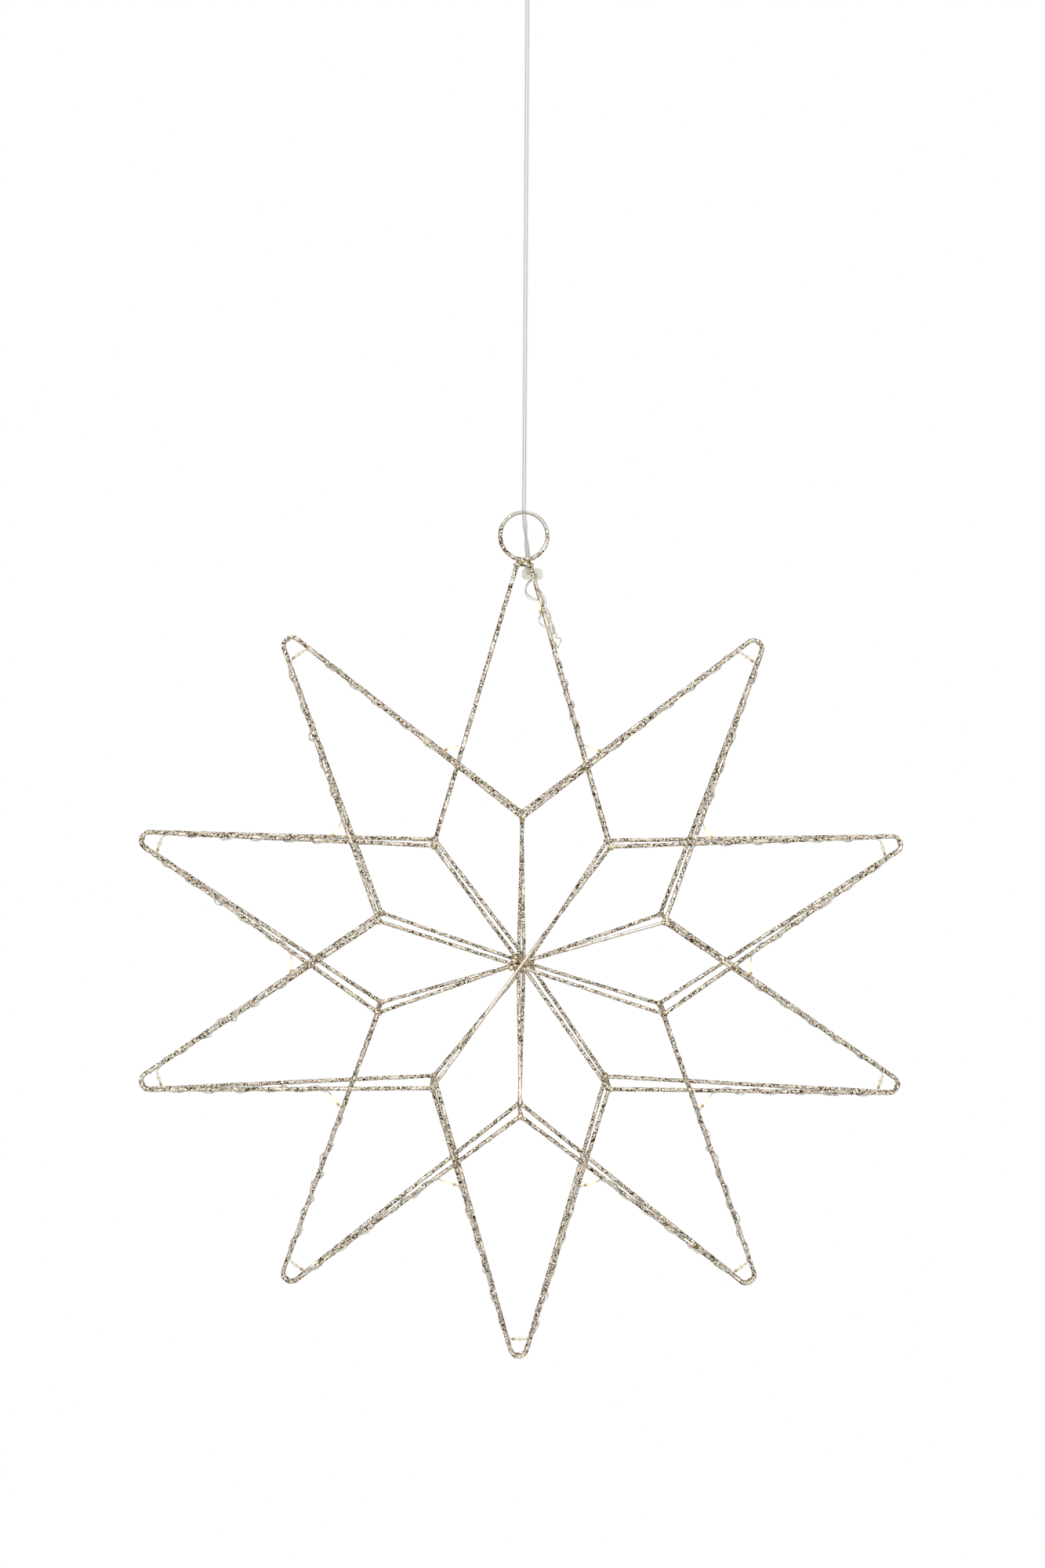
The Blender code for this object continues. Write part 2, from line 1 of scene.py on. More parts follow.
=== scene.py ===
# %% [markdown]
# # A hanging star of glittered wire, wound with a string of lights
# The real star is bent from soft steel wire: two five-point outlines lie across each other, once in front
# and once behind. Straight spokes, short rods and blobs of weld hold them together, and the whole frame is
# rolled in glitter before a fine string of drop-shaped lights is wound round its front wires.
# A measured model of plain solids is loaded first. It stays hidden under the finer pieces made here, which
# stand in the very same places, so the main lengths below repeat that model's.

# %% Load the measured model
import math

import bpy
import numpy as np
from mathutils import Matrix, Vector


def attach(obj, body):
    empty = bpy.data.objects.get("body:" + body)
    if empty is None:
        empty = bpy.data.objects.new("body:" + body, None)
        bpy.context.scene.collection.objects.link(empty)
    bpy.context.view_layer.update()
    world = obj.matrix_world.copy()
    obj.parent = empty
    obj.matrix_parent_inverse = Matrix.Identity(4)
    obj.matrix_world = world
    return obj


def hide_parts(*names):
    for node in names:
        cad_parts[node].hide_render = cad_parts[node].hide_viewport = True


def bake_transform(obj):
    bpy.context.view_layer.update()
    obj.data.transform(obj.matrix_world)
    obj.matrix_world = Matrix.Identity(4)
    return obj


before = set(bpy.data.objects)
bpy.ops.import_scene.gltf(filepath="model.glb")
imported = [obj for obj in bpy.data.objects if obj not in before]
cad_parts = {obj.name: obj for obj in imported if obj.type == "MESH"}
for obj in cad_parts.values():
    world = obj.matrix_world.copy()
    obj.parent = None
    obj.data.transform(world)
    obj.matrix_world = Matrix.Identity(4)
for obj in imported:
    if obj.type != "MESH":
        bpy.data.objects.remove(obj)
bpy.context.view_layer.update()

MM = 0.001

# %% [markdown]
# ## The camera
# The photograph was taken from about 1.6 m away, some 20 cm above the hub and looking down a little.
# A camera could be aimed by hand, but its place was worked out from the pixels of the ten tips and the
# inner corners, so it is written down as a place, three turns and one focal length.

# %% The photographer's camera
CAMERA_PLACE = (-0.0215, -1.637, -0.4288)
CAMERA_PITCH = math.radians(3.482)  # downwards
CAMERA_YAW = math.radians(-0.759)
CAMERA_ROLL = math.radians(-0.382)
FOCAL_PIXELS = 3506
PHOTO_HEIGHT = 2000
SENSOR = 36.0
NEAREST_SEEN = 0.05

camera_data = bpy.data.cameras.new("photo_camera")
camera_data.sensor_width = SENSOR
camera_data.lens = FOCAL_PIXELS * SENSOR / PHOTO_HEIGHT
camera_data.clip_start = NEAREST_SEEN
camera = bpy.data.objects.new("photo_camera", camera_data)
bpy.context.scene.collection.objects.link(camera)
bpy.context.scene.camera = camera
cos_yaw, sin_yaw = math.cos(CAMERA_YAW), math.sin(CAMERA_YAW)
cos_pitch, sin_pitch = math.cos(CAMERA_PITCH), math.sin(CAMERA_PITCH)
cos_roll, sin_roll = math.cos(CAMERA_ROLL), math.sin(CAMERA_ROLL)
level_right = np.array([cos_yaw, sin_yaw, 0.0])
forward = np.array([-sin_yaw * cos_pitch, cos_yaw * cos_pitch, -sin_pitch])
level_up = np.cross(level_right, forward)
camera_right = cos_roll * level_right - sin_roll * level_up
camera_up = sin_roll * level_right + cos_roll * level_up
turned_axes = np.eye(4)
turned_axes[:3] = np.stack([camera_right, camera_up, -forward, CAMERA_PLACE], axis=1)
camera.matrix_world = Matrix(turned_axes.tolist())
print(f"lens {camera_data.lens:.1f} mm on a {SENSOR:.0f} mm sensor")

# %% [markdown]
# ## Surfaces on a grid
# Wire, cable, weld beads and light drops are all rings of points that follow one another. Blender's curve
# bevel could draw the plain ones, but glitter needs every point of the skin moved by its own amount, so
# each ring is worked out with numpy and the whole grid goes into the mesh at once.
# Three helpers do most of it: one spaces a path evenly, one sets rings round it, and one skins the rings.


# %% Evenly spaced paths
def unit(vectors):
    """Each vector divided by its own length."""
    return vectors / np.linalg.norm(vectors, axis=-1, keepdims=True)


def evenly(points, spacing, closed=False):
    """The same run at even steps: every column interpolated over the length walked so far."""
    run = np.vstack([points, points[:1]]) if closed else np.asarray(points)
    steps = np.linalg.norm(np.diff(run[:, :3], axis=0), axis=1)
    walked = np.concatenate([[0.0], np.cumsum(steps)])
    count = max(2, round(walked[-1] / spacing))
    wanted = np.linspace(0.0, walked[-1], count + 1)[:count if closed else count + 1]
    return np.stack([np.interp(wanted, walked, column) for column in run.T], axis=1)


def curve_through(route, spacing):
    """A smooth curve through a route: between two places, the cubic whose slopes are half the step
    from the place before to the place after (Catmull-Rom), then evenly spaced."""
    route = np.asarray(route, float)
    padded = np.vstack([2 * route[:1] - route[1:2], route, 2 * route[-1:] - route[-2:-1]])
    first, second, third, fourth = (padded[k:len(padded) - 3 + k, None] for k in range(4))
    t = np.linspace(0.0, 1.0, 12, endpoint=False)[None, :, None]
    fine = (second + (third - first) * t / 2
            + (2 * first - 5 * second + 4 * third - fourth) * t**2 / 2
            + (3 * second - 3 * third + fourth - first) * t**3 / 2)
    return evenly(np.vstack([fine.reshape(-1, route.shape[1]), route[-1:]]), spacing)


def cubic(first, second, third, fourth, count):
    """A Bezier curve: (1-t)^3 first + 3 (1-t)^2 t second + 3 (1-t) t^2 third + t^3 fourth."""
    t = np.linspace(0.0, 1.0, count)[:, None]
    return (1 - t)**3 * first + 3 * (1 - t)**2 * t * second + 3 * (1 - t) * t**2 * third + t**3 * fourth


def ease(share):
    """A smooth step from 0 to 1: 3 s^2 - 2 s^3, held flat outside."""
    share = np.clip(share, 0.0, 1.0)
    return share * share * (3 - 2 * share)


print("a straight metre at 1 mm steps has", len(evenly(np.array([[0, 0, 0], [0, 0, 1.0]]), MM)), "points")


# %% Rings round a path
def around(sides):
    """Angles once round, in even steps from 0."""
    return np.arange(sides) * 2 * np.pi / sides


def rings(path, radius, sides, across, closed=False, turn=0.0, shift=0.0):
    """Points round a path: place + radius * (cos a * first + sin a * second) + shift * ahead.

    ahead runs along the path, first is the direction across with its share along the path taken
    away, second is ahead x first, and a goes once round in even steps, plus turn.
    """
    if closed:
        ahead = unit(np.roll(path, -1, axis=0) - np.roll(path, 1, axis=0))
    else:
        ahead = unit(np.gradient(path, axis=0))
    across = np.broadcast_to(across, path.shape)
    first = unit(across - ahead * np.sum(ahead * across, axis=1, keepdims=True))
    second = np.cross(ahead, first)
    a = np.broadcast_to((around(sides) + turn)[..., None], (len(path), sides, 1))
    outward = np.cos(a) * first[:, None] + np.sin(a) * second[:, None]
    radius = np.broadcast_to(radius, (len(path), sides))[..., None]
    shift = np.broadcast_to(shift, (len(path), sides))[..., None]
    return path[:, None] + radius * outward + shift * ahead[:, None]


def rounded_end(from_end, blunt):
    """A ball's outline at a wire's end, s radii from it: sqrt(1 - (1 - s)^2), with 1 - s kept under blunt."""
    return np.sqrt(1 - np.clip(1 - from_end, 0.0, blunt)**2)


STEEP = 0.7  # an axis that rises by more than this share takes its first direction from X


def turned(radii, heights, centre, axis, sides):
    """A turned form: centre + height * axis + radius * (cos a * first + sin a * second)."""
    axis = unit(np.asarray(axis, float))
    first = unit(np.cross(axis, [0.0, 0.0, 1.0] if abs(axis[2]) < STEEP else [1.0, 0.0, 0.0]))
    second = np.cross(axis, first)
    a = around(sides)[None, :, None]
    radii, heights = np.asarray(radii)[:, None, None], np.asarray(heights)[:, None, None]
    return centre + heights * axis + radii * (np.cos(a) * first + np.sin(a) * second)


def ball(rows, sides, power=1.0):
    """Angles a round and b up a ball, and its surface (cos b cos a, cos b sin a, sin b), poles left out.

    A power under 1 of every sine and cosine, signs kept, draws the ball out to a rounded block.
    """
    a, b = around(sides)[None, :], np.linspace(-np.pi / 2, np.pi / 2, rows + 2)[1:-1, None]
    cos_a, sin_a, cos_b, sin_b = (np.sign(wave) * np.abs(wave)**power
                                  for wave in (np.cos(a), np.sin(a), np.cos(b), np.sin(b)))
    return a, b, np.stack(np.broadcast_arrays(cos_b * cos_a, cos_b * sin_a, sin_b), -1)


def skin(name, grids, closed=False, smooth=True, marks=None):
    """One mesh object from grids of rings: quads between neighbours, a pole at both ends if open.

    marks holds point attributes, each a list with one array of a grid's shape for every grid.
    """
    points, quads, triangles = [], [], []
    values = {mark: [] for mark in marks or {}}
    first = 0
    for index, grid in enumerate(grids):
        rows, columns = grid.shape[:2]
        number = first + np.arange(rows * columns).reshape(rows, columns)
        here = number if closed else number[:-1]
        there = np.roll(number, -1, axis=0) if closed else number[1:]
        quads.append(np.stack([here, np.roll(here, -1, 1), np.roll(there, -1, 1), there], -1).reshape(-1, 4))
        points.append(grid.reshape(-1, 3))
        for mark in values:
            values[mark].append(marks[mark][index].ravel())
        first += rows * columns
        if closed:
            continue
        points.append(np.stack([grid[0].mean(axis=0), grid[-1].mean(axis=0)]))
        for mark in values:
            values[mark].append(marks[mark][index][[0, -1]].mean(axis=1))
        start, end = np.full(columns, first), np.full(columns, first + 1)
        triangles.append(np.stack([start, np.roll(number[0], -1), number[0]], -1))
        triangles.append(np.stack([end, number[-1], np.roll(number[-1], -1)], -1))
        first += 2
    points, quads = np.concatenate(points), np.concatenate(quads)
    triangles = np.concatenate(triangles) if triangles else np.zeros((0, 3), int)
    mesh = bpy.data.meshes.new(name)
    mesh.vertices.add(len(points))
    mesh.vertices.foreach_set("co", points.astype(np.float32).ravel())
    corners = np.concatenate([quads.ravel(), triangles.ravel()])
    mesh.loops.add(len(corners))
    mesh.loops.foreach_set("vertex_index", corners.astype(np.int32))
    starts = np.concatenate([np.arange(len(quads)) * 4, len(quads) * 4 + np.arange(len(triangles)) * 3])
    mesh.polygons.add(len(starts))
    mesh.polygons.foreach_set("loop_start", starts.astype(np.int32))
    mesh.polygons.foreach_set("use_smooth", np.full(len(starts), smooth))
    mesh.update(calc_edges=True)
    for mark, parts in values.items():
        attribute = mesh.attributes.new(mark, "FLOAT", "POINT")
        attribute.data.foreach_set("value", np.concatenate(parts).astype(np.float32))
    piece = bpy.data.objects.new(name, mesh)
    bpy.context.scene.collection.objects.link(piece)
    return piece


def triangle_count(*pieces):
    """Triangles of some pieces: each face has two fewer than its corners."""
    return sum(len(piece.data.loops) - 2 * len(piece.data.polygons) for piece in pieces)


print(f"a ring of 16 points turns {math.degrees(around(16)[1]):.1f} degrees from each to the next")

# %% [markdown]
# ## Where everything hangs
# The ten directions of the star are counted clockwise from the top, 36 degrees apart. Star 0 has its tips
# at the even ones and star 1 at the odd ones. The legs' sharp meeting points could be drawn once and
# mirrored, but the bends move them outwards by an amount that depends on the legs' own angle, so the
# radii and that angle are settled together in a few rounds.

# %% The star's plan
HUB = np.array([0.0, 0.0, -636 * MM])
TIP_RADIUS = 240 * MM
CORNER_RADIUS = 90 * MM
LAYER_DEPTH = 45 * MM
WIRE_RADIUS = 1.2 * MM
TIP_BEND_RADIUS = 5 * MM
CORNER_BEND_RADIUS = 4 * MM
TOUCH_GAP = 0.3 * MM
CABLE_DIAMETER = 3 * MM
STEP = math.radians(36)
FRONT, REAR = -1, 1
LAYERS = ((FRONT, "front"), (REAR, "rear"))
SETTLING_ROUNDS = 30

right, depth = np.array([1.0, 0.0, 0.0]), np.array([0.0, 1.0, 0.0])
wire_spacing = 2 * WIRE_RADIUS + TOUCH_GAP
tip_centre_radius = TIP_RADIUS - WIRE_RADIUS
apex_radius, vertex_radius = tip_centre_radius, CORNER_RADIUS
for _ in range(SETTLING_ROUNDS):
    half_tip = math.atan2(vertex_radius * math.sin(STEP), apex_radius - vertex_radius * math.cos(STEP))
    apex_radius = tip_centre_radius + TIP_BEND_RADIUS * (1 / math.sin(half_tip) - 1)
    vertex_radius = CORNER_RADIUS - CORNER_BEND_RADIUS * (1 / math.sin(half_tip + STEP) - 1)
half_notch = half_tip + STEP / 2
corner_along_tip = vertex_radius * math.cos(STEP)
lean = (LAYER_DEPTH - wire_spacing) / 2 / (tip_centre_radius - corner_along_tip)
print(f"sharp tips at {apex_radius / MM:.2f} mm, sharp corners at {vertex_radius / MM:.2f} mm")


def spot(radius, direction, y=0.0, aside=0.0):
    """A place at a radius from the hub in one of the ten directions, moved aside clockwise."""
    a = math.pi / 2 - direction * STEP
    outward = np.array([math.cos(a), 0.0, math.sin(a)])
    clockwise = np.array([math.sin(a), 0.0, -math.cos(a)])
    return HUB + outward * radius + clockwise * aside + np.array([0.0, y, 0.0])


def layer_offset(along_tip):
    """A layer's distance from its star's middle plane: half a spacing at the tip, more towards the hub."""
    return wire_spacing / 2 + lean * (tip_centre_radius - along_tip)


depth_gain = layer_offset(corner_along_tip) - layer_offset(apex_radius)
leg_of_star = spot(apex_radius, 0) - spot(vertex_radius, 1, -depth_gain)
leg_across = spot(apex_radius, 1) - spot(vertex_radius, 0, -depth_gain)
star_spacing = wire_spacing / abs(unit(np.cross(leg_of_star, leg_across))[1])
RING_PLANE_Y = CABLE_DIAMETER / 2 + TOUCH_GAP + WIRE_RADIUS
star_middles = (RING_PLANE_Y, RING_PLANE_Y - star_spacing)
hub_y = sum(star_middles) / 2
print(f"middle planes of the two stars at y {star_middles[0] / MM:.2f} and {star_middles[1] / MM:.2f} mm")


# %% Bends and corners
def tip_vertex(direction, layer):
    """The sharp point of a tip."""
    return spot(apex_radius, direction, star_middles[direction % 2] + layer * layer_offset(apex_radius))


def corner_vertex(direction, layer):
    """The sharp point of an inner corner, which belongs to the star whose tips lie beside it."""
    middle = star_middles[(direction + 1) % 2]
    return spot(vertex_radius, direction, middle + layer * layer_offset(corner_along_tip))


def bend(before, corner, after, radius, steps=14):
    """A round bend in place of a sharp corner: an arc from one leg's touching point to the other's,
    turned evenly (the two radii blended by the sines of what is left and what is done)."""
    back, ahead = unit(before - corner), unit(after - corner)
    half = math.acos(back @ ahead) / 2
    centre = corner + unit(back + ahead) * radius / math.sin(half)
    start = unit(corner + back * radius / math.tan(half) - centre)
    end = unit(corner + ahead * radius / math.tan(half) - centre)
    whole = math.acos(start @ end)
    t = np.linspace(0.0, 1.0, steps + 1)[:, None]
    return centre + radius * (np.sin((1 - t) * whole) * start + np.sin(t * whole) * end) / math.sin(whole)


def corner_seat(direction, layer):
    """The wire's centre in the middle of an inner corner's bend."""
    legs = tip_vertex(direction - 1, layer), corner_vertex(direction, layer), tip_vertex(direction + 1, layer)
    return bend(*legs, CORNER_BEND_RADIUS, 2)[1]


def outline_path(star, layer):
    """One closed star outline: a tip's bend and an inner corner's bend by turns, all the way round."""
    parts = []
    for tip in range(star, 10, 2):
        here, corner = tip_vertex(tip, layer), corner_vertex(tip + 1, layer)
        parts += [bend(corner_vertex(tip - 1, layer), here, corner, TIP_BEND_RADIUS),
                  bend(here, corner, tip_vertex(tip + 2, layer), CORNER_BEND_RADIUS)]
    return np.vstack(parts)


star_box = outline_path(0, FRONT)
print("front outline a reaches", np.round((star_box.max(axis=0) - star_box.min(axis=0)) / MM, 1), "mm")

# %% [markdown]
# ## Shader recipes
# A finish is written as a formula. Blender stores it as nodes and links, which are slow to write one by
# one, so a small class wraps a socket: adding or multiplying two of them adds the Math node, and one
# method adds any other node with its settings and its inputs. The patterns used most have short names.


# %% A value in a finish
class Shade:
    """One socket's value in a material's node tree."""

    def __init__(self, tree, socket=None):
        self.tree, self.socket = tree, socket

    def node(self, kind, settings=None, inputs=None, out=0):
        """Adds a node of a type: its settings first, then the values or links of its sockets."""
        node = self.tree.nodes.new(kind)
        for name, value in (settings or {}).items():
            if name == "stops":
                ramp = node.color_ramp
                while len(ramp.elements) < len(value):
                    ramp.elements.new(1.0)
                for element, (place, colour) in zip(ramp.elements, value):
                    element.position, element.color = place, (*colour, 1.0)
            elif name == "interpolation":
                node.color_ramp.interpolation = value
            else:
                setattr(node, name, value)
        for name, value in (inputs or {}).items():
            if isinstance(value, Shade):
                self.tree.links.new(value.socket, node.inputs[name])
            else:
                node.inputs[name].default_value = value
        return Shade(self.tree, node.outputs[out] if node.outputs else None)

    def math(self, operation, other=0.0, swapped=False):
        """A Math node of this value and another, in either order."""
        pair = (other, self) if swapped else (self, other)
        return self.node("ShaderNodeMath", {"operation": operation}, dict(enumerate(pair)))

    def __add__(self, other):
        return self.math("ADD", other)

    def __mul__(self, other):
        return self.math("MULTIPLY", other)

    def __sub__(self, other):
        return self.math("SUBTRACT", other)

    def __rsub__(self, other):
        return self.math("SUBTRACT", other, swapped=True)

    __radd__ = __add__
    __rmul__ = __mul__

    def mix(self, first, second):
        """A colour between two, by this value."""
        return self.node("ShaderNodeMix", {"data_type": "RGBA"}, {0: self, 6: first, 7: second}, out=2)

    def steps(self, stops, interpolation="LINEAR"):
        """A colour ramp read at this value."""
        settings = {"interpolation": interpolation, "stops": stops}
        return self.node("ShaderNodeValToRGB", settings, {0: self})

    def eased(self, low, high, at_low, at_high):
        """A smooth change from at_low, where this value is low, to at_high, where it is high."""
        ends = {"Value": self, "From Min": low, "From Max": high, "To Min": at_low, "To Max": at_high}
        return self.node("ShaderNodeMapRange", {"interpolation_type": "SMOOTHSTEP"}, ends)

    def vectors(self, operation, other, out=0):
        """A Vector Math node of this vector and another."""
        return self.node("ShaderNodeVectorMath", {"operation": operation}, {0: self, 1: other}, out)

    def output(self, key):
        """Another output of the node that this value comes from."""
        return Shade(self.tree, self.socket.node.outputs[key])

    def place(self):
        """The place on the piece, in metres."""
        return self.node("ShaderNodeTexCoord", out=3)

    def mark(self, name):
        """A value that the piece's points carry."""
        return self.node("ShaderNodeAttribute", {"attribute_name": name}, out=2)

    def noise(self, scale, detail=3.0):
        """Soft noise from 0 to 1, read at this place."""
        return self.node("ShaderNodeTexNoise", {}, {"Vector": self, "Scale": scale, "Detail": detail})


def emptied(owner):
    """A first handle on the nodes of a material or world, after its own ones are cleared away."""
    owner.use_nodes = True
    owner.node_tree.nodes.clear()
    return Shade(owner.node_tree)


def finish_named(name, fixed, patterns):
    """A material: fixed numbers go on the shader's own sockets, patterns(start) gives the links."""
    material = bpy.data.materials.new(name)
    start = emptied(material)
    shader = start.node("ShaderNodeBsdfPrincipled", {}, {**fixed, **patterns(start)})
    start.node("ShaderNodeOutputMaterial", {}, {"Surface": shader})
    print(f"finish {name}: {len(material.node_tree.nodes)} nodes")
    return material


# %% [markdown]
# ## The clear twin cable
# The star hangs on its own lead: two clear strands side by side, each with a grey core. A plain round tube
# would lose the pair, so the profile carried along the path is a figure of eight, two circles run together:
# r(a) = c |cos a| + sqrt(R^2 - c^2 sin^2 a). It makes half a turn inside the ring, where the real cable
# crosses itself, and it follows the same route as the measured model: before the ring's top, behind its
# bottom and down into the connector.

# %% The cable's route
RING_RADIUS = 14 * MM
SWIVEL_RISE = 5 * MM
CONNECTOR_SIZE = np.array([12.5, 4.5, 7]) * MM
CONNECTOR_SHIFT = 5.4 * MM
CONNECTOR_DROP = 3.8 * MM
ENTRY_SHIFT = 2.5 * MM
ENTRY_LENGTH = 2 * MM
HOOK_REACH = 14 * MM
HOOK_BEND_RADIUS = 6 * MM
HOOK_WIRE_RADIUS = 1.5 * MM
LOOP_HEIGHT = 30 * MM
CLIP_HEIGHT = 8 * MM

# The ring's wire lies between the front and rear wires of the top tip, this far above their middles
nesting = math.sqrt(wire_spacing**2 - layer_offset(tip_centre_radius)**2)
ring_centre = HUB + [0.0, RING_PLANE_Y, tip_centre_radius + nesting + RING_RADIUS]
ring_top = float(ring_centre[2] + RING_RADIUS)
swivel = np.array([0.0, 0.0, ring_top + WIRE_RADIUS + SWIVEL_RISE])
loop_seat = -HOOK_REACH - HOOK_BEND_RADIUS + HOOK_WIRE_RADIUS + TOUCH_GAP + CABLE_DIAMETER / 2
clip_top = loop_seat - LOOP_HEIGHT - TOUCH_GAP
cable_top = np.array([0.0, 0.0, clip_top - CLIP_HEIGHT])

bottom = TIP_RADIUS - CONNECTOR_DROP - CONNECTOR_SIZE[2]
wire_back = star_middles[0] + layer_offset(bottom) + WIRE_RADIUS / math.cos(math.atan(lean))
connector_middle = HUB + [CONNECTOR_SHIFT, wire_back + TOUCH_GAP + CONNECTOR_SIZE[1] / 2,
                          bottom + CONNECTOR_SIZE[2] / 2]
entry = connector_middle + [ENTRY_SHIFT - CONNECTOR_SHIFT, 0.0, CONNECTOR_SIZE[2] / 2 + TOUCH_GAP]
behind_ring = RING_PLANE_Y + WIRE_RADIUS + TOUCH_GAP + CABLE_DIAMETER
ring_route = np.array([
    swivel,
    [0.0, 0.0, ring_top],
    [ENTRY_SHIFT / 2, behind_ring / 2, ring_top - RING_RADIUS],
    [ENTRY_SHIFT, behind_ring, ring_top - 2 * RING_RADIUS + 2 * WIRE_RADIUS],
    entry + [0.0, 0.0, ENTRY_LENGTH],
    entry])
CABLE_STEP = 1 * MM
cable_path = np.vstack([evenly(np.array([cable_top, swivel]), CABLE_STEP)[:-1],
                        curve_through(ring_route, CABLE_STEP)])
cable_path = evenly(cable_path, CABLE_STEP)

# %% The two strands and their cores
STRAND_APART = 0.72 * MM  # the middle of the pair to the middle of a strand
STRAND_RADIUS = 0.78 * MM
CORE_RADIUS = 0.21 * MM
CABLE_SIDES = 32
CORE_SIDES = 8
TWIST_TOP = ring_centre[2] + 9 * MM
TWIST_LENGTH = 18 * MM


def eight(a):
    """The figure of eight: how far its edge lies from the middle in each direction."""
    return STRAND_APART * np.abs(np.cos(a)) + np.sqrt(STRAND_RADIUS**2 - (STRAND_APART * np.sin(a))**2)


cable_edge = eight(around(CABLE_SIDES))
twist = np.pi * ease((TWIST_TOP - cable_path[:, 2]) / TWIST_LENGTH)
twin_cable = skin("twin_cable", [rings(cable_path, cable_edge, CABLE_SIDES, right, turn=twist[:, None])])
cores = []
for side in (0.0, np.pi):
    centres = rings(cable_path, STRAND_APART, 1, right, turn=(twist + side)[:, None])[:, 0]
    cores.append(rings(centres, CORE_RADIUS, CORE_SIDES, right))
cable_cores = skin("cable_cores", cores)
print("cable", triangle_count(twin_cable), "and cores", triangle_count(cable_cores), "triangles")

# %% [markdown]
# ## The loop, the clip and the hook
# Above the photograph's edge the cable is only known to hang from something. It ends as such a star is
# hung up in use: in a loop closed by a clear clip, on a small white ceiling hook. A modifier could round a
# cube for the clip, but a rounded block is also one formula: the corners of a ball's grid are drawn
# outwards by a small power of each coordinate.


# %% The rounded block
def block(centre, size, power, rows=28, sides=48):
    """A soft block: half the size times a ball whose sines and cosines are raised to a small power."""
    return centre + ball(rows, sides, power)[2] * np.asarray(size) / 2


CLIP_SIZE = np.array([9, 6, 8]) * MM
CLIP_POWER = 0.3
loop_clip = skin("loop_clip_shell", [block(cable_top + [0.0, 0.0, CLIP_HEIGHT / 2], CLIP_SIZE, CLIP_POWER)])
print("clip", triangle_count(loop_clip), "triangles")

# %% The loop
LOOP_SPREAD = 8 * MM
LOOP_SHOULDER = 14 * MM
foot = np.array([-CABLE_DIAMETER / 2 - TOUCH_GAP, 0.0, loop_seat - LOOP_HEIGHT])
half_loop = cubic(foot, foot + [0.0, 0.0, LOOP_SHOULDER], np.array([-LOOP_SPREAD, 0.0, loop_seat]),
                  np.array([0.0, 0.0, loop_seat]), count=40)
loop_path = evenly(np.vstack([half_loop, half_loop[-2::-1] * [-1.0, 1.0, 1.0]]), CABLE_STEP)
loop_path = np.vstack([loop_path[:1] - [0, 0, CABLE_STEP], loop_path, loop_path[-1:] - [0, 0, CABLE_STEP]])
cable_loop = skin("cable_loop_strands", [rings(loop_path, cable_edge, CABLE_SIDES, depth)])
print(f"loop {len(loop_path)} rings, seat at z {loop_seat / MM:.1f} mm")

# %% The ceiling hook
# The base from its middle to its rim and back: mm from the axis, mm under the ceiling
BASE_INNER = ((0.5, 2.5), (2.6, 2.5))
BASE_RIM = ((3.0, 2.3), (6.9, 2.2), (7.7, 1.75), (8.0, 1.0), (8.0, 0.25))
BASE_TOP = ((7.8, 0.0), (0.5, 0.0))
RIM_STEP = 0.15
base_profile = np.vstack([BASE_INNER, curve_through(BASE_RIM, RIM_STEP), BASE_TOP]) * MM
base = turned(base_profile[:, 0], -base_profile[:, 1], np.zeros(3), (0.0, 0.0, 1.0), sides=64)
hook_base = skin("hook_base_plate", [base])
NECK_DROPS = np.array([2.3, 4.2, 5.3]) * MM
HOOK_START, HOOK_END = math.radians(65), math.radians(-190)
HOOK_STEP = 0.5 * MM
hook_turn = np.linspace(HOOK_START, HOOK_END, 60)
bent = np.stack([0 * hook_turn, HOOK_BEND_RADIUS * np.cos(hook_turn),
                 HOOK_BEND_RADIUS * np.sin(hook_turn) - HOOK_REACH], axis=1)
neck = NECK_DROPS[:, None] * [0.0, 0.0, -1.0]
hook_path = evenly(np.vstack([neck, bent]), HOOK_STEP)
from_tip = np.arange(len(hook_path))[::-1] * HOOK_STEP / HOOK_WIRE_RADIUS
hook_radius = HOOK_WIRE_RADIUS * rounded_end(from_tip, blunt=0.98)
hook_wire = skin("hook_bent_wire", [rings(hook_path, hook_radius[:, None], 20, right)])
print("hook", triangle_count(hook_base, hook_wire), "triangles")

# %% [markdown]
# ## The glittered wires
# Each wire is a tube whose skin is broken up by flakes glued on in a patchy coat. Flakes could be thousands
# of loose plates, but they lie so close that they read as one rough skin: every point of a fine grid is
# pushed outwards and sideways by its own random amount where the coat lies, and the faces are left flat so
# that each catches the light by itself. Where a slow wave along and round the wire falls below a level, the
# coat has rubbed off and the smooth metal shows.

# %% A patchy coat
GRAIN = 0.44 * MM  # spacing of the points
WIRE_SIDES = 16
BARE_RADIUS = 1.02 * MM
FLAKE_HEIGHT = 0.30 * MM
FLAKE_UNEVENNESS = 1.3  # a power that makes high flakes rarer than low ones
FLAKE_SLIDE = 0.8  # share of the spacing
# The coat's slow waves: metres along the wire, times round it, weight
COAT_WAVES = ((0.045, 1, 1.0), (0.021, -2, 0.7), (0.012, 1, 0.6), (0.0045, 3, 0.5))
COAT_LEVEL = 1.5
COAT_EDGE = 0.9
BARE_COAT = 0.12


def coat_patches(distance, angle, luck, bare):
    """How thick the coat lies, 0 to 1: slow waves along the wire and round it, cut off at a level."""
    wave = 0.0
    for length, times_round, weight in COAT_WAVES:
        phase = luck.random() * 2 * np.pi
        wave = wave + weight * np.sin(2 * np.pi * distance / length + times_round * angle + phase)
    return ease((wave + COAT_LEVEL - bare) / COAT_EDGE)


def read(items, key, kind):
    """One value of every item in a part of a mesh, as an array."""
    values = np.empty(len(items), kind)
    items.foreach_get(key, values)
    return values


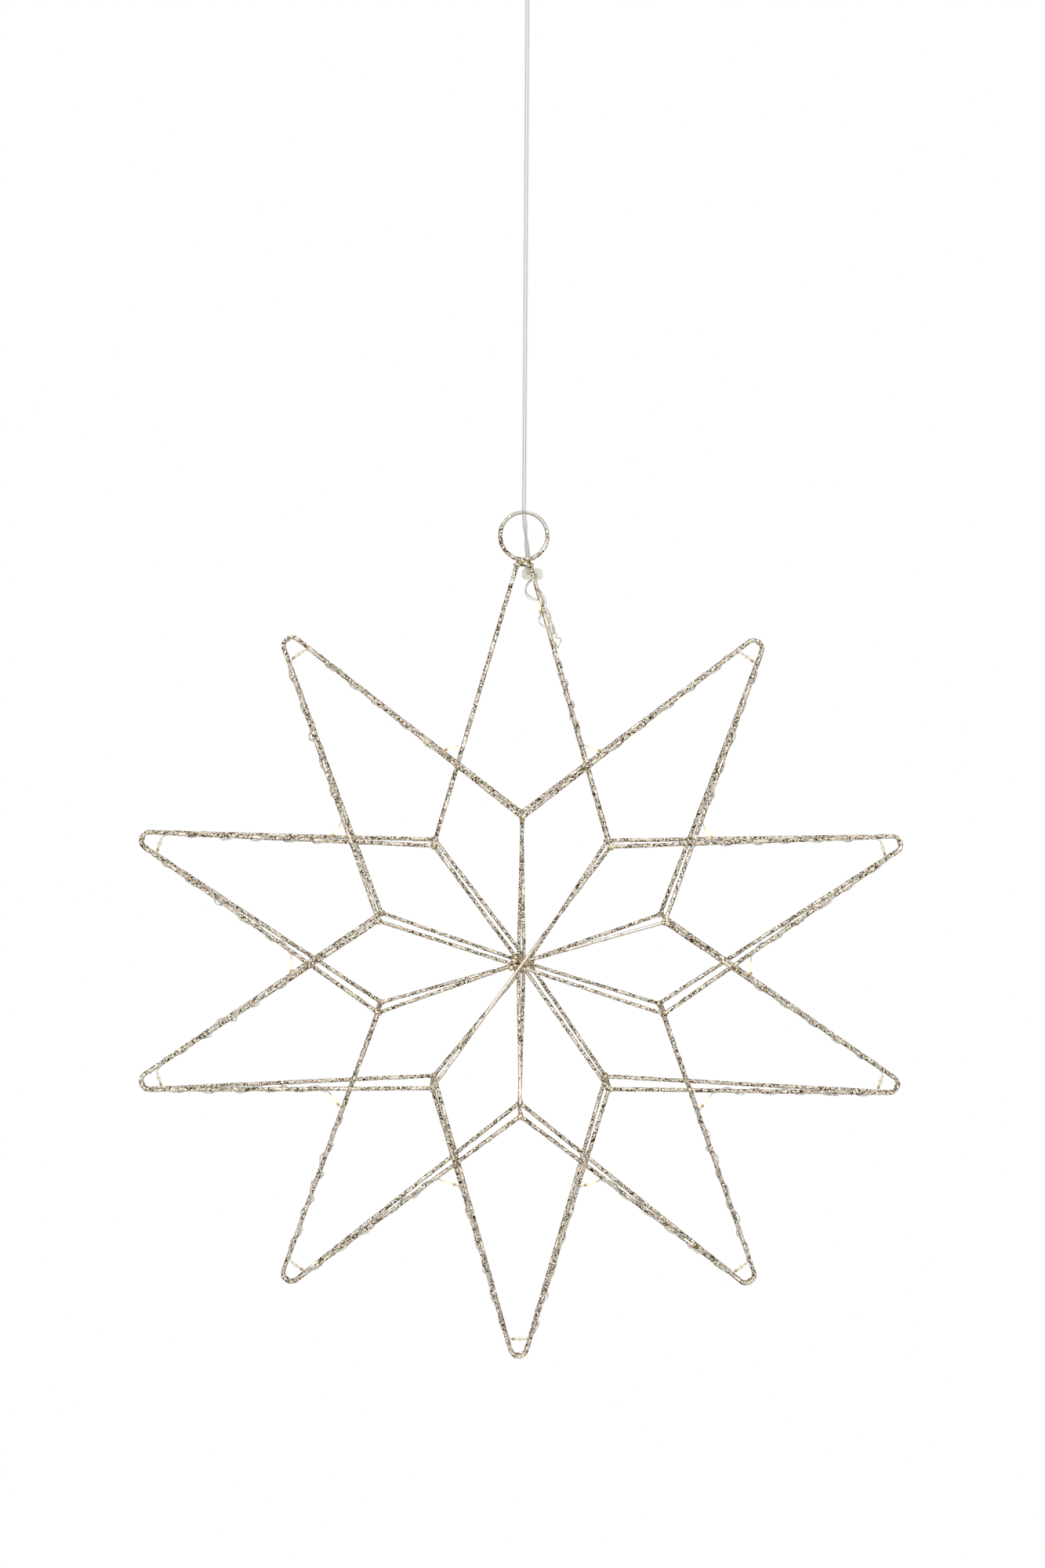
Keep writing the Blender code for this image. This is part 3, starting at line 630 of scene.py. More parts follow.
def smooth_bare_metal(mesh):
    """Faces whose corners carry next to no coat are shaded smoothly."""
    coat = read(mesh.attributes["coat"].data, "value", np.float32)
    corners = read(mesh.loops, "vertex_index", np.int32)
    thickest = np.maximum.reduceat(coat[corners], read(mesh.polygons, "loop_start", np.int32))
    mesh.polygons.foreach_set("use_smooth", thickest < BARE_COAT)
    mesh.update()


def glitter_wire(name, path, across, seed, slimness, bare, closed):
    """A wire whose points are slid by chance: radius = slimness * (bare radius + coat * flake height
    * a random number). Where bare is a pair of lists, it gives shares of the path and their levels."""
    path = evenly(path, GRAIN, closed)
    shape = (len(path), WIRE_SIDES)
    luck = np.random.default_rng(seed)
    distance = np.arange(len(path))[:, None] * GRAIN
    angle = around(WIRE_SIDES)[None, :]
    bare = np.interp(np.linspace(0, 1, len(path)), *bare)[:, None] if isinstance(bare, tuple) else bare
    coat = coat_patches(distance, angle, luck, bare)
    radius = slimness * (BARE_RADIUS + coat * FLAKE_HEIGHT * luck.random(shape)**FLAKE_UNEVENNESS)
    slide = (luck.random(shape) - 0.5) * FLAKE_SLIDE * coat
    turn = (luck.random(shape) - 0.5) * FLAKE_SLIDE * coat * 2 * np.pi / WIRE_SIDES
    if not closed:
        radius = radius * rounded_end(np.minimum(distance, distance[::-1]) / WIRE_RADIUS, blunt=0.95)
        slide[[0, -1]] = 0.0
    grid = rings(path, radius, WIRE_SIDES, across, closed, turn=turn, shift=slide * GRAIN)
    piece = skin(name, [grid], closed, smooth=False, marks={"coat": [coat]})
    smooth_bare_metal(piece.data)
    return piece


FIRST_SEED = 11
wires = []


def add_wire(node, path, across, slimness, bare=0.0, closed=False):
    """Makes the wire of one node, with a seed of its own, and adds both to the wires."""
    seed = FIRST_SEED + len(wires)
    wires.append((glitter_wire(node + "_glittered", path, across, seed, slimness, bare, closed), node))


def wire_triangles(word=""):
    """Triangles of the wires made so far whose node's name has the word."""
    return triangle_count(*(piece for piece, node in wires if word in node))


print(f"{len(COAT_WAVES)} slow waves in the coat, the longest of {COAT_WAVES[0][0] / MM:.0f} mm")

# %% Outlines
# Where the coat is thicker or thinner than elsewhere: shares of the path, and levels, under 0 for thicker
TOP_TIP_CRUST = ([0.0, 0.012, 0.02, 0.98, 1.0], [-2.0, -2.0, 0.0, 0.0, -2.0])
FIRST_LEG_RUBBED = ([0.0, 0.009, 0.012, 0.018, 0.026, 0.032, 0.98, 1.0],
                    [-2.0, -2.0, 1.0, 1.6, 1.6, 0.0, 0.0, -2.0])
OUTLINE_SLIMNESS = 1.04
for layer, layer_name in LAYERS:
    for star, star_name in enumerate("ab"):
        bare = 0.0 if star else FIRST_LEG_RUBBED if layer == FRONT else TOP_TIP_CRUST
        add_wire(f"{layer_name}_outline_{star_name}", outline_path(star, layer), depth, OUTLINE_SLIMNESS,
                 bare, closed=True)
print("outlines", wire_triangles(), "triangles")

# %% [markdown]
# ## Spokes, rods and the ring
# Ten spokes run from corner to corner and lie in a pile at the hub, each a wire's thickness behind the one
# before, so every spoke bends a little on both sides of the pile. Short rods hold the two layers apart, and
# a welded ring stands on the top tip. All of them are the same wire, so they use the same function.

# %% Spokes
HUB_FLAT_LENGTH = 20 * MM
SPOKE_BEND_RADIUS = 15 * MM
SPOKE_SLIMNESS = 0.92
PILE_ORDER = (1, 3, 4, 0, 2)  # outermost first
# How far beside the hub each spoke passes, in wire thicknesses
SIDE_SHARES = {FRONT: (-0.6, 0.0, 0.0, 0.55, 0.0), REAR: (0.7, 1.5, 0.0, 0.0, -1.35)}
end_radius = CORNER_RADIUS - WIRE_RADIUS / 2
BARE_STRETCHES = {  # shares of the spoke, and levels
    "front_spoke_2": ([0.0, 0.38, 0.44, 0.56, 0.60, 0.75, 1.0], [0.2, 0.4, 4.5, 4.5, 1.9, 1.5, 0.9]),
    "front_spoke_3": ([0.0, 0.28, 0.36, 1.0], [2.8, 2.4, 0.2, 0.4]),
    "front_spoke_1": ([0.0, 0.3, 0.7, 0.8, 1.0], [-0.4, -0.6, -0.4, 1.2, 1.6]),
}
for layer, layer_name in LAYERS:
    for direction in range(5):
        level = len(PILE_ORDER) - PILE_ORDER.index(direction) - 1
        y = hub_y + layer * (level + 0.5) * wire_spacing
        aside = SIDE_SHARES[layer][direction] * 2 * WIRE_RADIUS
        start = spot(end_radius, direction, corner_seat(direction, layer)[1])
        end = spot(end_radius, direction + 5, corner_seat(direction + 5, layer)[1])
        flat_start = spot(HUB_FLAT_LENGTH / 2, direction, y, aside)
        flat_end = spot(-HUB_FLAT_LENGTH / 2, direction, y, aside)
        path = np.vstack([start, bend(start, flat_start, flat_end, SPOKE_BEND_RADIUS, 6),
                          bend(flat_start, flat_end, end, SPOKE_BEND_RADIUS, 6), end])
        node = f"{layer_name}_spoke_{direction + 1}"
        add_wire(node, path, depth, SPOKE_SLIMNESS, BARE_STRETCHES.get(node, 0.0))
print("spokes", wire_triangles("spoke"), "triangles")

# %% Spacer rods and the ring
ROD_BARE = 0.3
RING_BARE = ([0.0, 0.08, 0.2, 0.3, 0.38, 0.6, 0.8, 0.9, 1.0], [2.8, 3.2, 2.4, 1.3, 0.2, 0.0, 0.5, 1.5, 2.8])
RING_SLIMNESS = 1.08
for direction in range(10):
    front, rear = corner_seat(direction, FRONT), corner_seat(direction, REAR)
    inset = unit(rear - front) * WIRE_RADIUS / 2
    add_wire(f"spacer_rod_{direction + 1:02d}", np.array([front + inset, rear - inset]),
             unit(spot(1.0, direction) - HUB), SPOKE_SLIMNESS, ROD_BARE)
circle = np.linspace(0.0, 2 * np.pi, 240, endpoint=False)[:, None]
ring_path = ring_centre + RING_RADIUS * (np.cos(circle) * [0.0, 0.0, 1.0] + np.sin(circle) * right)
add_wire("hanging_ring", ring_path, depth, RING_SLIMNESS, RING_BARE, closed=True)
print(len(wires), "wires,", wire_triangles(), "triangles")

# %% [markdown]
# ## Weld beads
# Where wires cross, the real star has blobs of weld that took up a thick crust of glitter. They could be
# scaled balls, but a bead bridges two or three wires and has no two sides alike, so each is a ball's grid
# with its radii squeezed and every point moved by chance. The beads of one place in the frame are one piece.


# %% Beads
BEAD_SWELL = 0.07
BEAD_GRAIN = 0.16
# Half sizes of the beads in mm, along X, Y and Z
CROSSING_BEAD = (1.7, 2.3, 1.7)
CORNER_BEAD = (1.9, 1.8, 1.9)
TIP_BEAD = (1.5, 2.2, 1.5)
TOP_BEAD = (1.6, 2.0, 1.5)
CORNER_BEAD_INSET = 1.3 * MM
TIP_BEAD_INSET = 0.4 * MM
TOP_BEADS_ASIDE = (-4.8, -3.4, -1.8, 0.0, 1.8, 3.5, 4.9)  # mm, along the foot of the ring
TOP_BEADS_SINK, TOP_BEADS_SHRINK = 0.08, 0.04  # per mm aside
HUB_BEADS_PER_LEVEL = 6
HUB_REACH, HUB_REACH_MORE = 1.0, 4.8  # mm, the second times a random number
HUB_WIDTH, HUB_HEIGHT = 1.25, 0.85  # of the oval they lie in
HUB_BEAD, HUB_BEAD_MORE = 1.05, 0.75  # half sizes in mm, the second times random numbers


def bead(centre, radii, luck, rows=11, sides=16):
    """A lumpy ball: centre + radii * direction * (1 + slow wave + a random number for each point)."""
    a, b, direction = ball(rows, sides)
    phases = luck.random(3) * 2 * np.pi
    slow = np.sin(2 * a + phases[0]) * np.cos(b) + np.sin(3 * b + phases[1]) + np.sin(a + 2 * b + phases[2])
    swell = 1 + BEAD_SWELL * slow + BEAD_GRAIN * (luck.random((rows, sides)) - 0.5)
    return centre + direction * (np.asarray(radii) * MM) * swell[..., None]


luck = np.random.default_rng(7)
bead_groups = {}
# Legs cross halfway between two directions: rise * (1 - share) = slope * (distance along the tip)
slope =math.tan(STEP / 2)
rise = vertex_radius * math.sin(STEP)
crossing_share = (rise - slope * corner_along_tip) / (rise + slope * (apex_radius - corner_along_tip))
crossing = corner_vertex(1, FRONT) + crossing_share * (tip_vertex(0, FRONT) - corner_vertex(1, FRONT))
crossing_radius = math.hypot(crossing[0], crossing[2] - HUB[2])
crossing_offset = layer_offset(crossing_radius * math.cos(STEP / 2))
for layer, layer_name in LAYERS:
    beads = []
    for direction in range(10):
        crossing_place = spot(crossing_radius, direction + 0.5, hub_y + layer * crossing_offset)
        corner_place = spot(CORNER_RADIUS - CORNER_BEAD_INSET, direction, corner_seat(direction, layer)[1])
        beads += [bead(crossing_place, CROSSING_BEAD, luck), bead(corner_place, CORNER_BEAD, luck)]
    bead_groups[f"{layer_name}_weld_beads"] = beads
tips = [bead(spot(tip_centre_radius - TIP_BEAD_INSET, direction, star_middles[direction % 2]), TIP_BEAD, luck)
        for direction in range(10)]
for aside in TOP_BEADS_ASIDE:
    radius = tip_centre_radius + nesting / 2 - aside**2 * TOP_BEADS_SINK * MM
    tips.append(bead(spot(radius, 0, star_middles[0], aside * MM),
                     np.array(TOP_BEAD) * (1 - TOP_BEADS_SHRINK * abs(aside)), luck))
bead_groups["tip_weld_beads"] = tips
hub_beads = []
for level in range(-4, 5):
    for _ in range(HUB_BEADS_PER_LEVEL):
        a, reach = luck.random() * 2 * np.pi, (HUB_REACH + HUB_REACH_MORE * luck.random()) * MM
        place = HUB + [HUB_WIDTH * reach * math.cos(a), hub_y + level * wire_spacing,
                       HUB_HEIGHT * reach * math.sin(a)]
        hub_beads.append(bead(place, HUB_BEAD + HUB_BEAD_MORE * luck.random(3), luck))
bead_groups["hub_weld_beads"] = hub_beads
weld_beads = [skin(name, beads, smooth=False, marks={"coat": [np.ones(grid.shape[:2]) for grid in beads]})
              for name, beads in bead_groups.items()]
print(", ".join(f"{piece.name} {triangle_count(piece)} triangles" for piece in weld_beads))

# %% [markdown]
# ## The light string
# Three hair-thin wires run side by side from the connector past twenty lights. Between two lights they are
# wound round the star's wire five and a half times, out of a notch and into a tip. A perfect coil would look
# machined, so the turns hurry and dawdle a little, stand off here and there, and the three wires trade
# places. The centre line is worked out first, with the direction that points away from the star's wire.

# %% Seats of the lights
LED_LENGTH = 7 * MM
LED_DIAMETER = 2.3 * MM
STRAND_DIAMETER = 1 * MM
SPAN_CLEARANCE = 3.5 * MM
FIRST_LED_DROP = 40 * MM
TIP_SIDE = 0.5  # turns round a leg from its notch side
WINDING_RADIUS = WIRE_RADIUS + TOUCH_GAP + STRAND_DIAMETER / 2
LIGHT_COUNT = 20


class Leg:
    """A tip's front wire from the crossing to its sharp point, clockwise (1) or not (-1) of the tip."""

    def __init__(self, tip, aside):
        apex, corner = tip_vertex(tip, FRONT), corner_vertex(tip + aside, FRONT)
        self.along = unit(apex - corner)
        self.crossing = corner + crossing_share * (apex - corner)
        self.length = np.linalg.norm(apex - self.crossing)
        clockwise = spot(0, tip, aside=aside) - HUB
        self.notch_side = unit(clockwise - self.along * (clockwise @ self.along))
        front = np.cross(self.along, self.notch_side)
        self.front = -front if front[1] > 0 else front

    def at(self, distance, turn, radius):
        """Places beside the wire: crossing + distance * along + radius * the direction at that turn."""
        distance, turn, radius = (np.atleast_1d(value)[:, None] for value in (distance, turn, radius))
        away = np.cos(2 * np.pi * turn) * self.notch_side + np.sin(2 * np.pi * turn) * self.front
        return self.crossing + distance * self.along + radius * away, away


def span_distance(half_angle):
    """How far from the point where two legs meet a light fits between them."""
    return (LED_LENGTH / 2 + SPAN_CLEARANCE / math.cos(half_angle)) / math.tan(half_angle)


first_leg = Leg(0, 1)
in_front = np.array([0.0, -(LED_DIAMETER + STRAND_DIAMETER) / 2 - TOUCH_GAP, 0.0])
first_place = first_leg.at(first_leg.length - FIRST_LED_DROP, TIP_SIDE, WINDING_RADIUS)[0][0]
seats = [(first_place + in_front, first_leg.along)]
notch_radius = crossing_radius + span_distance(half_notch)
tip_radius = apex_radius - span_distance(half_tip)
for number in range(1, LIGHT_COUNT):
    direction = number / 2
    along = spot(0, direction, aside=1.0) - HUB
    if number % 2:
        middle = spot(notch_radius, direction, hub_y + FRONT * crossing_offset)
    else:
        tip_y = star_middles[number // 2 % 2] + FRONT * layer_offset(tip_radius)
        middle = spot(tip_radius, direction, tip_y)
    seats.append((middle + in_front, along))
print(f"{len(seats)} lights, in the notches at {notch_radius / MM:.1f} mm and in the tips at "
      f"{tip_radius / MM:.1f} mm from the hub")

# %% The string's centre line
TURNS = 5.5
PLACES_PER_TURN = 10
HURRY_WAVES = ((0.10, 4.3), (0.05, 17))  # turns gained or lost, radians of the wave along a leg
CLOSE_RADIUS = 1.62 * MM
STAND_OFF = 2.4 * MM
STAND_OFF_RARITY = 2.2
BULB_LENGTH = 8.4 * MM
LEAD_LOOP_REACH = 7 * MM
LEAD_DIP, LEAD_RISE = 0.6, 0.1  # of its reach
LEAD_INSIDE = 0.3 * MM
LEAD_POINTS = 12
TOWARDS_ROOM = np.array([[0.0, -1.0, 0.0]])
STRING_STEP = 0.8 * MM
# On the first leg the spare wire is bunched beside the first light. It starts after a share of the leg and
# five close turns, and goes on through these places: mm from the sharp tip, turn, mm from the wire's middle
SLACK_START = 0.80
SLACK_TURN = 5.0
SLACK_CLOSENESS = 1.25
SLACK = ((66.5, 0.0, 1.9), (64.3, 0.0, 3.6), (62.6, -0.01, 5.2), (61.2, 0.0, 4.6), (60.2, 0.03, 2.6),
         (58.0, 0.05, 3.8), (55.2, -0.03, 2.3), (52.4, 0.05, 3.5), (49.2, -0.04, 2.2), (45.6, 0.05, 3.3),
         (41.4, -0.02, 2.2), (37.4, 0.06, 3.2), (33.8, 0.0, 2.0), (31.2, -0.12, 2.1), (32.6, -0.22, 1.9),
         (36.8, -0.10, 2.4), (41.4, -0.20, 1.9), (46.0, -0.08, 2.9), (50.4, -0.16, 2.0), (54.6, -0.05, 3.2),
         (57.6, 0.08, 2.2), (56.2, 0.20, 1.9), (53.4, 0.30, 2.1), (51.4, 0.44, 3.2), (49.4, 0.47, 4.2),
         (47.0, 0.49, 3.6))
luck = np.random.default_rng(23)


def seat_end(seat, place):
    """The end of a light that is nearer to a place."""
    middle, along = seat
    way = along if (place - middle) @ along > 0 else -along
    return middle + way * (BULB_LENGTH / 2)


def winding(leg, notch_seat, tip_seat, slack=None):
    """Turns round a leg: the distance goes evenly, the turn and the radius with small slow waves."""
    leg_middle = leg.crossing + leg.along * leg.length / 2
    start, end = seat_end(notch_seat, leg_middle), seat_end(tip_seat, leg_middle)
    distances = [(place - leg.crossing) @ leg.along for place in (start, end)]
    count = round(TURNS * PLACES_PER_TURN)
    share = np.arange(1, count) / count
    hold = np.sin(np.pi * share)
    phase = luck.random(3) * 2 * np.pi
    turn = TURNS * share
    for (size, speed), beginning in zip(HURRY_WAVES, phase):
        turn = turn + size * hold * np.sin(speed * share + beginning)
    whole_turns = np.arange(math.ceil(TURNS) + 1)
    stand_off = np.interp(share * TURNS, whole_turns, luck.random(len(whole_turns))**STAND_OFF_RARITY)
    stand_off = stand_off * np.sin(2 * np.pi * turn + phase[2])**2
    radius = CLOSE_RADIUS + STAND_OFF * stand_off * hold
    distance = distances[0] + (distances[1] - distances[0]) * share
    if slack is not None:
        wound = share < SLACK_START
        distance = np.concatenate([distance[wound], leg.length - slack[:, 0] * MM])
        turn = np.concatenate([turn[wound] * SLACK_TURN / turn[wound][-1], slack[:, 1] + SLACK_TURN])
        radius = np.concatenate([np.minimum(radius[wound], SLACK_CLOSENESS * CLOSE_RADIUS), slack[:, 2] * MM])
    places, away = leg.at(distance, turn, radius)
    return np.hstack([np.vstack([start, places, end]), np.vstack([TOWARDS_ROOM, away, TOWARDS_ROOM])])


lead_start = connector_middle - [0.0, 0.0, CONNECTOR_SIZE[2] / 2 - LEAD_INSIDE]
lead_end = seat_end(seats[0], connector_middle)
lead = cubic(lead_start, lead_start - [LEAD_LOOP_REACH, 0.0, LEAD_DIP * LEAD_LOOP_REACH],
             lead_end - [LEAD_LOOP_REACH, 0.0, -LEAD_RISE * LEAD_LOOP_REACH], lead_end, LEAD_POINTS)
route = [np.hstack([lead, np.tile(TOWARDS_ROOM, (LEAD_POINTS, 1))])]
for number in range(1, LIGHT_COUNT):
    notch, tip = (number, number - 1) if number % 2 else (number - 1, number)
    slack = np.array(SLACK) if number == 1 else None
    run = winding(Leg(tip // 2, notch - tip), seats[notch], seats[tip], slack)
    route.append(run if tip == number else run[::-1])
string_line = curve_through(np.vstack(route), STRING_STEP)
print(f"string {len(string_line) * STRING_STEP:.2f} m long on its centre line")

# %% Three fine wires
FINE_RADIUS = 0.20 * MM
FINE_APART = 0.50 * MM
FINE_SIDES = 6
GATHER_START = 0.4  # of a light's length, from its middle
GATHER_LENGTH = 6 * MM
GATHERED_SHARE = 0.25  # of their distance apart, where the wires enter a light
SWAYS = ((0.45, 0.043), (0.3, 0.017))  # share of their distance apart, metres of the wave
LIFT_HEIGHT = 0.25 * MM
LIFT_LENGTHS = (0.031, 0.019)
TANGLE_DROP = 48 * MM
TANGLE_OUT = 3 * MM
TANGLE_REACH = 14 * MM
TANGLE_SPREAD = 0.9
places, away = string_line[:, :3], unit(string_line[:, 3:])
side = unit(np.cross(np.gradient(places, axis=0), away))
walked = np.arange(len(places)) * STRING_STEP
bulb_distance = np.min([np.linalg.norm(places - middle, axis=1) for middle, _ in seats], axis=0)
gathered = ease((bulb_distance - BULB_LENGTH * GATHER_START) / GATHER_LENGTH)[:, None]
tangle = first_leg.at(first_leg.length - TANGLE_DROP, 0.0, TANGLE_OUT)[0][0]
from_tangle = np.linalg.norm(places - tangle, axis=1)
loose = 1 + TANGLE_SPREAD * np.exp(-(from_tangle / TANGLE_REACH)**2)[:, None]


def swing(length, phase):
    """A sine wave of that length along the string."""
    return np.sin(2 * np.pi * walked / length + phase)


fine_wires = []
for share in (-1.0, 0.0, 1.0):
    phase = luck.random(4) * 2 * np.pi
    sway = sum(size * swing(length, start) for (size, length), start in zip(SWAYS, phase))
    lift = LIFT_HEIGHT * (1 + swing(LIFT_LENGTHS[0], phase[2])) * swing(LIFT_LENGTHS[1], phase[3])**2
    apart = (FINE_APART * (share + sway))[:, None] * (GATHERED_SHARE + (1 - GATHERED_SHARE) * gathered)
    centre = places + side * apart * loose + away * lift[:, None] * gathered * loose
    fine_wires.append(rings(centre, FINE_RADIUS, FINE_SIDES, side))
light_string = skin("fine_string_wires", fine_wires)
print("fine wires", triangle_count(light_string), "triangles")

# %% [markdown]
# ## The lights
# Each light is a tiny chip between the fine wires, sealed in a drop of clear resin, with a small amber bead
# at its lower end. It is a turned form: a long body and a short bead whose radii are two half ellipses run
# together, which a scaled ball could not give. The drops differ only in their finish, which comes below.

# %% Drops
BULB_RADIUS = 1.2 * MM
AMBER_RADIUS = 0.85 * MM
NECK_RADIUS = 0.32 * MM
AMBER_SHARE = 0.22
AMBER_RISE = 0.01
AMBER_SPREAD = 0.02
BODY_FULLNESS = 0.8


def half_ellipse(share, middle, reach):
    """A half ellipse of height 1: sqrt(1 - ((share - middle) / reach)^2), 0 outside."""
    return np.sqrt(np.clip(1 - ((share - middle) / reach)**2, 0.0, 1.0))


share = np.linspace(0.0, 1.0, 34)
body = half_ellipse(share - 0.5, AMBER_SHARE / 2, 0.5 - AMBER_SHARE / 2)**BODY_FULLNESS
amber = half_ellipse(share - AMBER_SHARE / 2, AMBER_RISE, AMBER_SHARE / 2 + AMBER_SPREAD)
bulb_profile = np.maximum(np.maximum(BULB_RADIUS * body, AMBER_RADIUS * amber), NECK_RADIUS)
lights = []
for number, (middle, along) in enumerate(seats, start=1):
    upwards = along if along[2] >= 0 else -along
    grid = turned(bulb_profile, (share - 0.5) * BULB_LENGTH, middle, upwards, sides=20)
    along_drop = np.broadcast_to(share[:, None], grid.shape[:2])
    lights.append(skin(f"light_{number:02d}", [grid], marks={"along_drop": [along_drop]}))
print(len(lights), "lights of", triangle_count(lights[0]), "triangles")

# %% [markdown]
# ## The connector
# Behind the top tip a milky moulded block joins the cable to the fine wires. It is the same rounded block
# as the clip, a little softer, with a short collar where the cable enters.

# %% The block and its collar
CONNECTOR_POWER = 0.45
COLLAR_RADII = np.array([1.0, 1.75, 1.85, 1.9, 1.9, 1.88, 1.85, 1.82, 1.78, 1.72, 1.6, 1.0]) * MM
COLLAR_HEIGHTS = np.linspace(-1.2, 1.6, len(COLLAR_RADII)) * MM
collar = turned(COLLAR_RADII, COLLAR_HEIGHTS, entry - [0.0, 0.0, TOUCH_GAP], (0.0, 0.0, 1.0), sides=32)
connector = skin("connector_shell", [block(connector_middle, CONNECTOR_SIZE, CONNECTOR_POWER), collar])
print("connector", triangle_count(connector), "triangles")

# %% [markdown]
# ## Finishes
# Glitter is cut foil: flakes a little over half a millimetre wide, some bright as a mirror, some dark
# because they face away. That glint and shade is painted into the colour: a cell pattern gives every flake
# a painted highlight or painted shade of its own, and its own tilt, both from the one random colour of
# the cell, so nothing depends on where the camera stands. Soft noise gathers the painted light and dark
# flakes in clumps, as the photograph shows. Under the coat lies plain champagne-coloured metal, a little
# greyer on the ring, and the weld beads have their own, more golden flakes, with glints and shade painted
# the same way.

# %% Glitter over champagne metal
FLAKES_PER_METRE = 1600
CLUMPS_PER_METRE = 740
CLUMP_WEIGHT = 1.35
RUBS_PER_METRE = 260
FLAKE_TILT = 0.5
BARE_ROUGHNESS, BARE_METALLIC = 0.26, 0.92
ROUGHNESS_SPREAD, METALLIC_SPREAD = 0.3, 0.35  # among the flakes
FLAKES_SMOOTHER = 0.08
# Shades from dark to light, each from a value of the pattern on. In the flake and crust tables the
# near-black shades are painted shade and the near-white ones painted glints, over the flakes' own tone
FLAKE_TONE_GLINT_AND_SHADE = ((0.0, (0.068, 0.038, 0.016)), (0.37, (0.29, 0.165, 0.070)), (0.45, (0.80, 0.56, 0.31)),
                (0.51, (1.0, 0.87, 0.64)), (0.60, (1.0, 0.98, 0.87)))
# The weld crust's flakes: a more golden tone, with painted glints and painted shade as above
CRUST_TONE_GLINT_AND_SHADE = ((0.0, (0.10, 0.055, 0.020)), (0.24, (0.40, 0.26, 0.11)), (0.38, (0.72, 0.53, 0.28)),
                (0.52, (0.95, 0.80, 0.54)), (0.70, (1.0, 0.96, 0.82)))
METAL_SHADES = ((0.3, (0.76, 0.63, 0.49)), (0.7, (0.98, 0.89, 0.75)))
RING_METAL = ((0.3, (0.62, 0.56, 0.48)), (0.7, (0.86, 0.82, 0.74)))
EDGE_TINT = {"Specular Tint": (0.42, 0.34, 0.26, 1.0)}


def glitter_named(name, shades=FLAKE_TONE_GLINT_AND_SHADE, bare_shades=METAL_SHADES):
    """A finish with the flakes' painted glint and shade, roughness and tilt, and the bare metal between."""
    def patterns(start):
        place = start.place()
        cells = place.node("ShaderNodeTexVoronoi", {}, {"Vector": place, "Scale": FLAKES_PER_METRE}, out=1)
        red = cells.node("ShaderNodeSeparateColor", {}, {0: cells})
        green, blue = red.output(1), red.output(2)
        coat = start.mark("coat")
        clumps = place.noise(CLUMPS_PER_METRE, detail=1.0)
        # The cell's colour picks a painted glint, a painted shade or a tone between for each flake
        flake = (red + (clumps - 0.5) * CLUMP_WEIGHT).steps(shades, "CONSTANT")
        metal = place.noise(RUBS_PER_METRE).steps(bare_shades)
        tilt = cells.vectors("SUBTRACT", (0.5, 0.5, 0.5))
        tilt = tilt.node("ShaderNodeVectorMath", {"operation": "SCALE"}, {0: tilt, 3: coat * FLAKE_TILT})
        leaning = start.node("ShaderNodeNewGeometry", out=1).vectors("ADD", tilt)
        return {
            "Base Color": coat.mix(metal, flake),
            "Roughness": BARE_ROUGHNESS + coat * (green * ROUGHNESS_SPREAD - FLAKES_SMOOTHER),
            "Metallic": BARE_METALLIC - coat * (blue * METALLIC_SPREAD),
            "Normal": leaning.node("ShaderNodeVectorMath", {"operation": "NORMALIZE"}, {0: leaning}),
        }
    return finish_named(name, EDGE_TINT, patterns)


glitter = glitter_named("champagne_glitter")
crust = glitter_named("weld_crust", CRUST_TONE_GLINT_AND_SHADE)
ring_glitter = glitter_named("ring_glitter", bare_shades=RING_METAL)


def hand_over(piece, material, body, node=None):
    """Paints a piece, hides the part that it replaces, if any, and puts it on the body that it rides on."""
    piece.data.materials.append(material)
    if node:
        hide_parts(node)
    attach(piece, body)


for piece, node in wires:
    hand_over(piece, ring_glitter if node == "hanging_ring" else glitter, "star", node)
for piece in weld_beads:
    hand_over(piece, crust, "star")

# %% [markdown]
# Clear plastic over white turns light grey, with its core showing through. Refraction would be truer, but a
# thin part seen against white gives the same picture with plain see-through, which every other program
# also understands. Slow noise makes it a little cloudier here and there, and the cable is denser inside and
# below the ring, where its strands cross. Its cores, the hook and the fine wires use such noise too, opaque.

# %% Clear plastics, paint and fine wire
CLOUDINESS = 0.25


def cloudy(scale, low, high, alpha=None, denser=0.0):
    """Noise between two shades, with an alpha that rises where it is cloudier and below the ring's top."""
    def patterns(start):
        place = start.place()
        noise = place.noise(scale)
        links = {"Base Color": noise.steps(((0.3, low), (0.7, high)))}
        if alpha:
            links["Alpha"] = noise * CLOUDINESS + (alpha - CLOUDINESS / 2)
        if denser:
            height = place.node("ShaderNodeSeparateXYZ", {}, {0: place}, out=2)
            links["Alpha"] = links["Alpha"] + height.eased(ring_top, ring_top - RING_RADIUS, 0.0, denser)
        return links
    return patterns


clear_cable = finish_named("clear_cable", {"Roughness": 0.18, "IOR": 1.5},
                           cloudy(300.0, (0.78, 0.78, 0.77), (0.88, 0.88, 0.87), alpha=0.21, denser=0.25))
core_metal = finish_named("cable_core", {"Roughness": 0.4, "Metallic": 0.6},
                          cloudy(500.0, (0.42, 0.42, 0.41), (0.58, 0.58, 0.56)))
clear_clip = finish_named("clear_clip", {"Roughness": 0.2, "IOR": 1.5},
                          cloudy(200.0, (0.70, 0.72, 0.71), (0.82, 0.84, 0.83), alpha=0.6))
fine_wire = finish_named("fine_string_wire", {"Roughness": 0.3, "Metallic": 0.35},
                         cloudy(420.0, (0.66, 0.60, 0.48), (0.98, 0.96, 0.90)))
hook_white = finish_named("painted_white", {"Roughness": 0.38},
                          cloudy(150.0, (0.74, 0.74, 0.71), (0.82, 0.82, 0.80)))

# %% [markdown]
# The photographed lights aren't alike. In the notches, and on the first leg, the whole drop glows cream
# white. In the tips most drops look pale and clear, with the dark edges of the chip in the middle. One
# finish could be dimmed by chance, but the two looks follow the places, so there are two finishes, both
# read along the drop: the amber bead comes first, then the body.

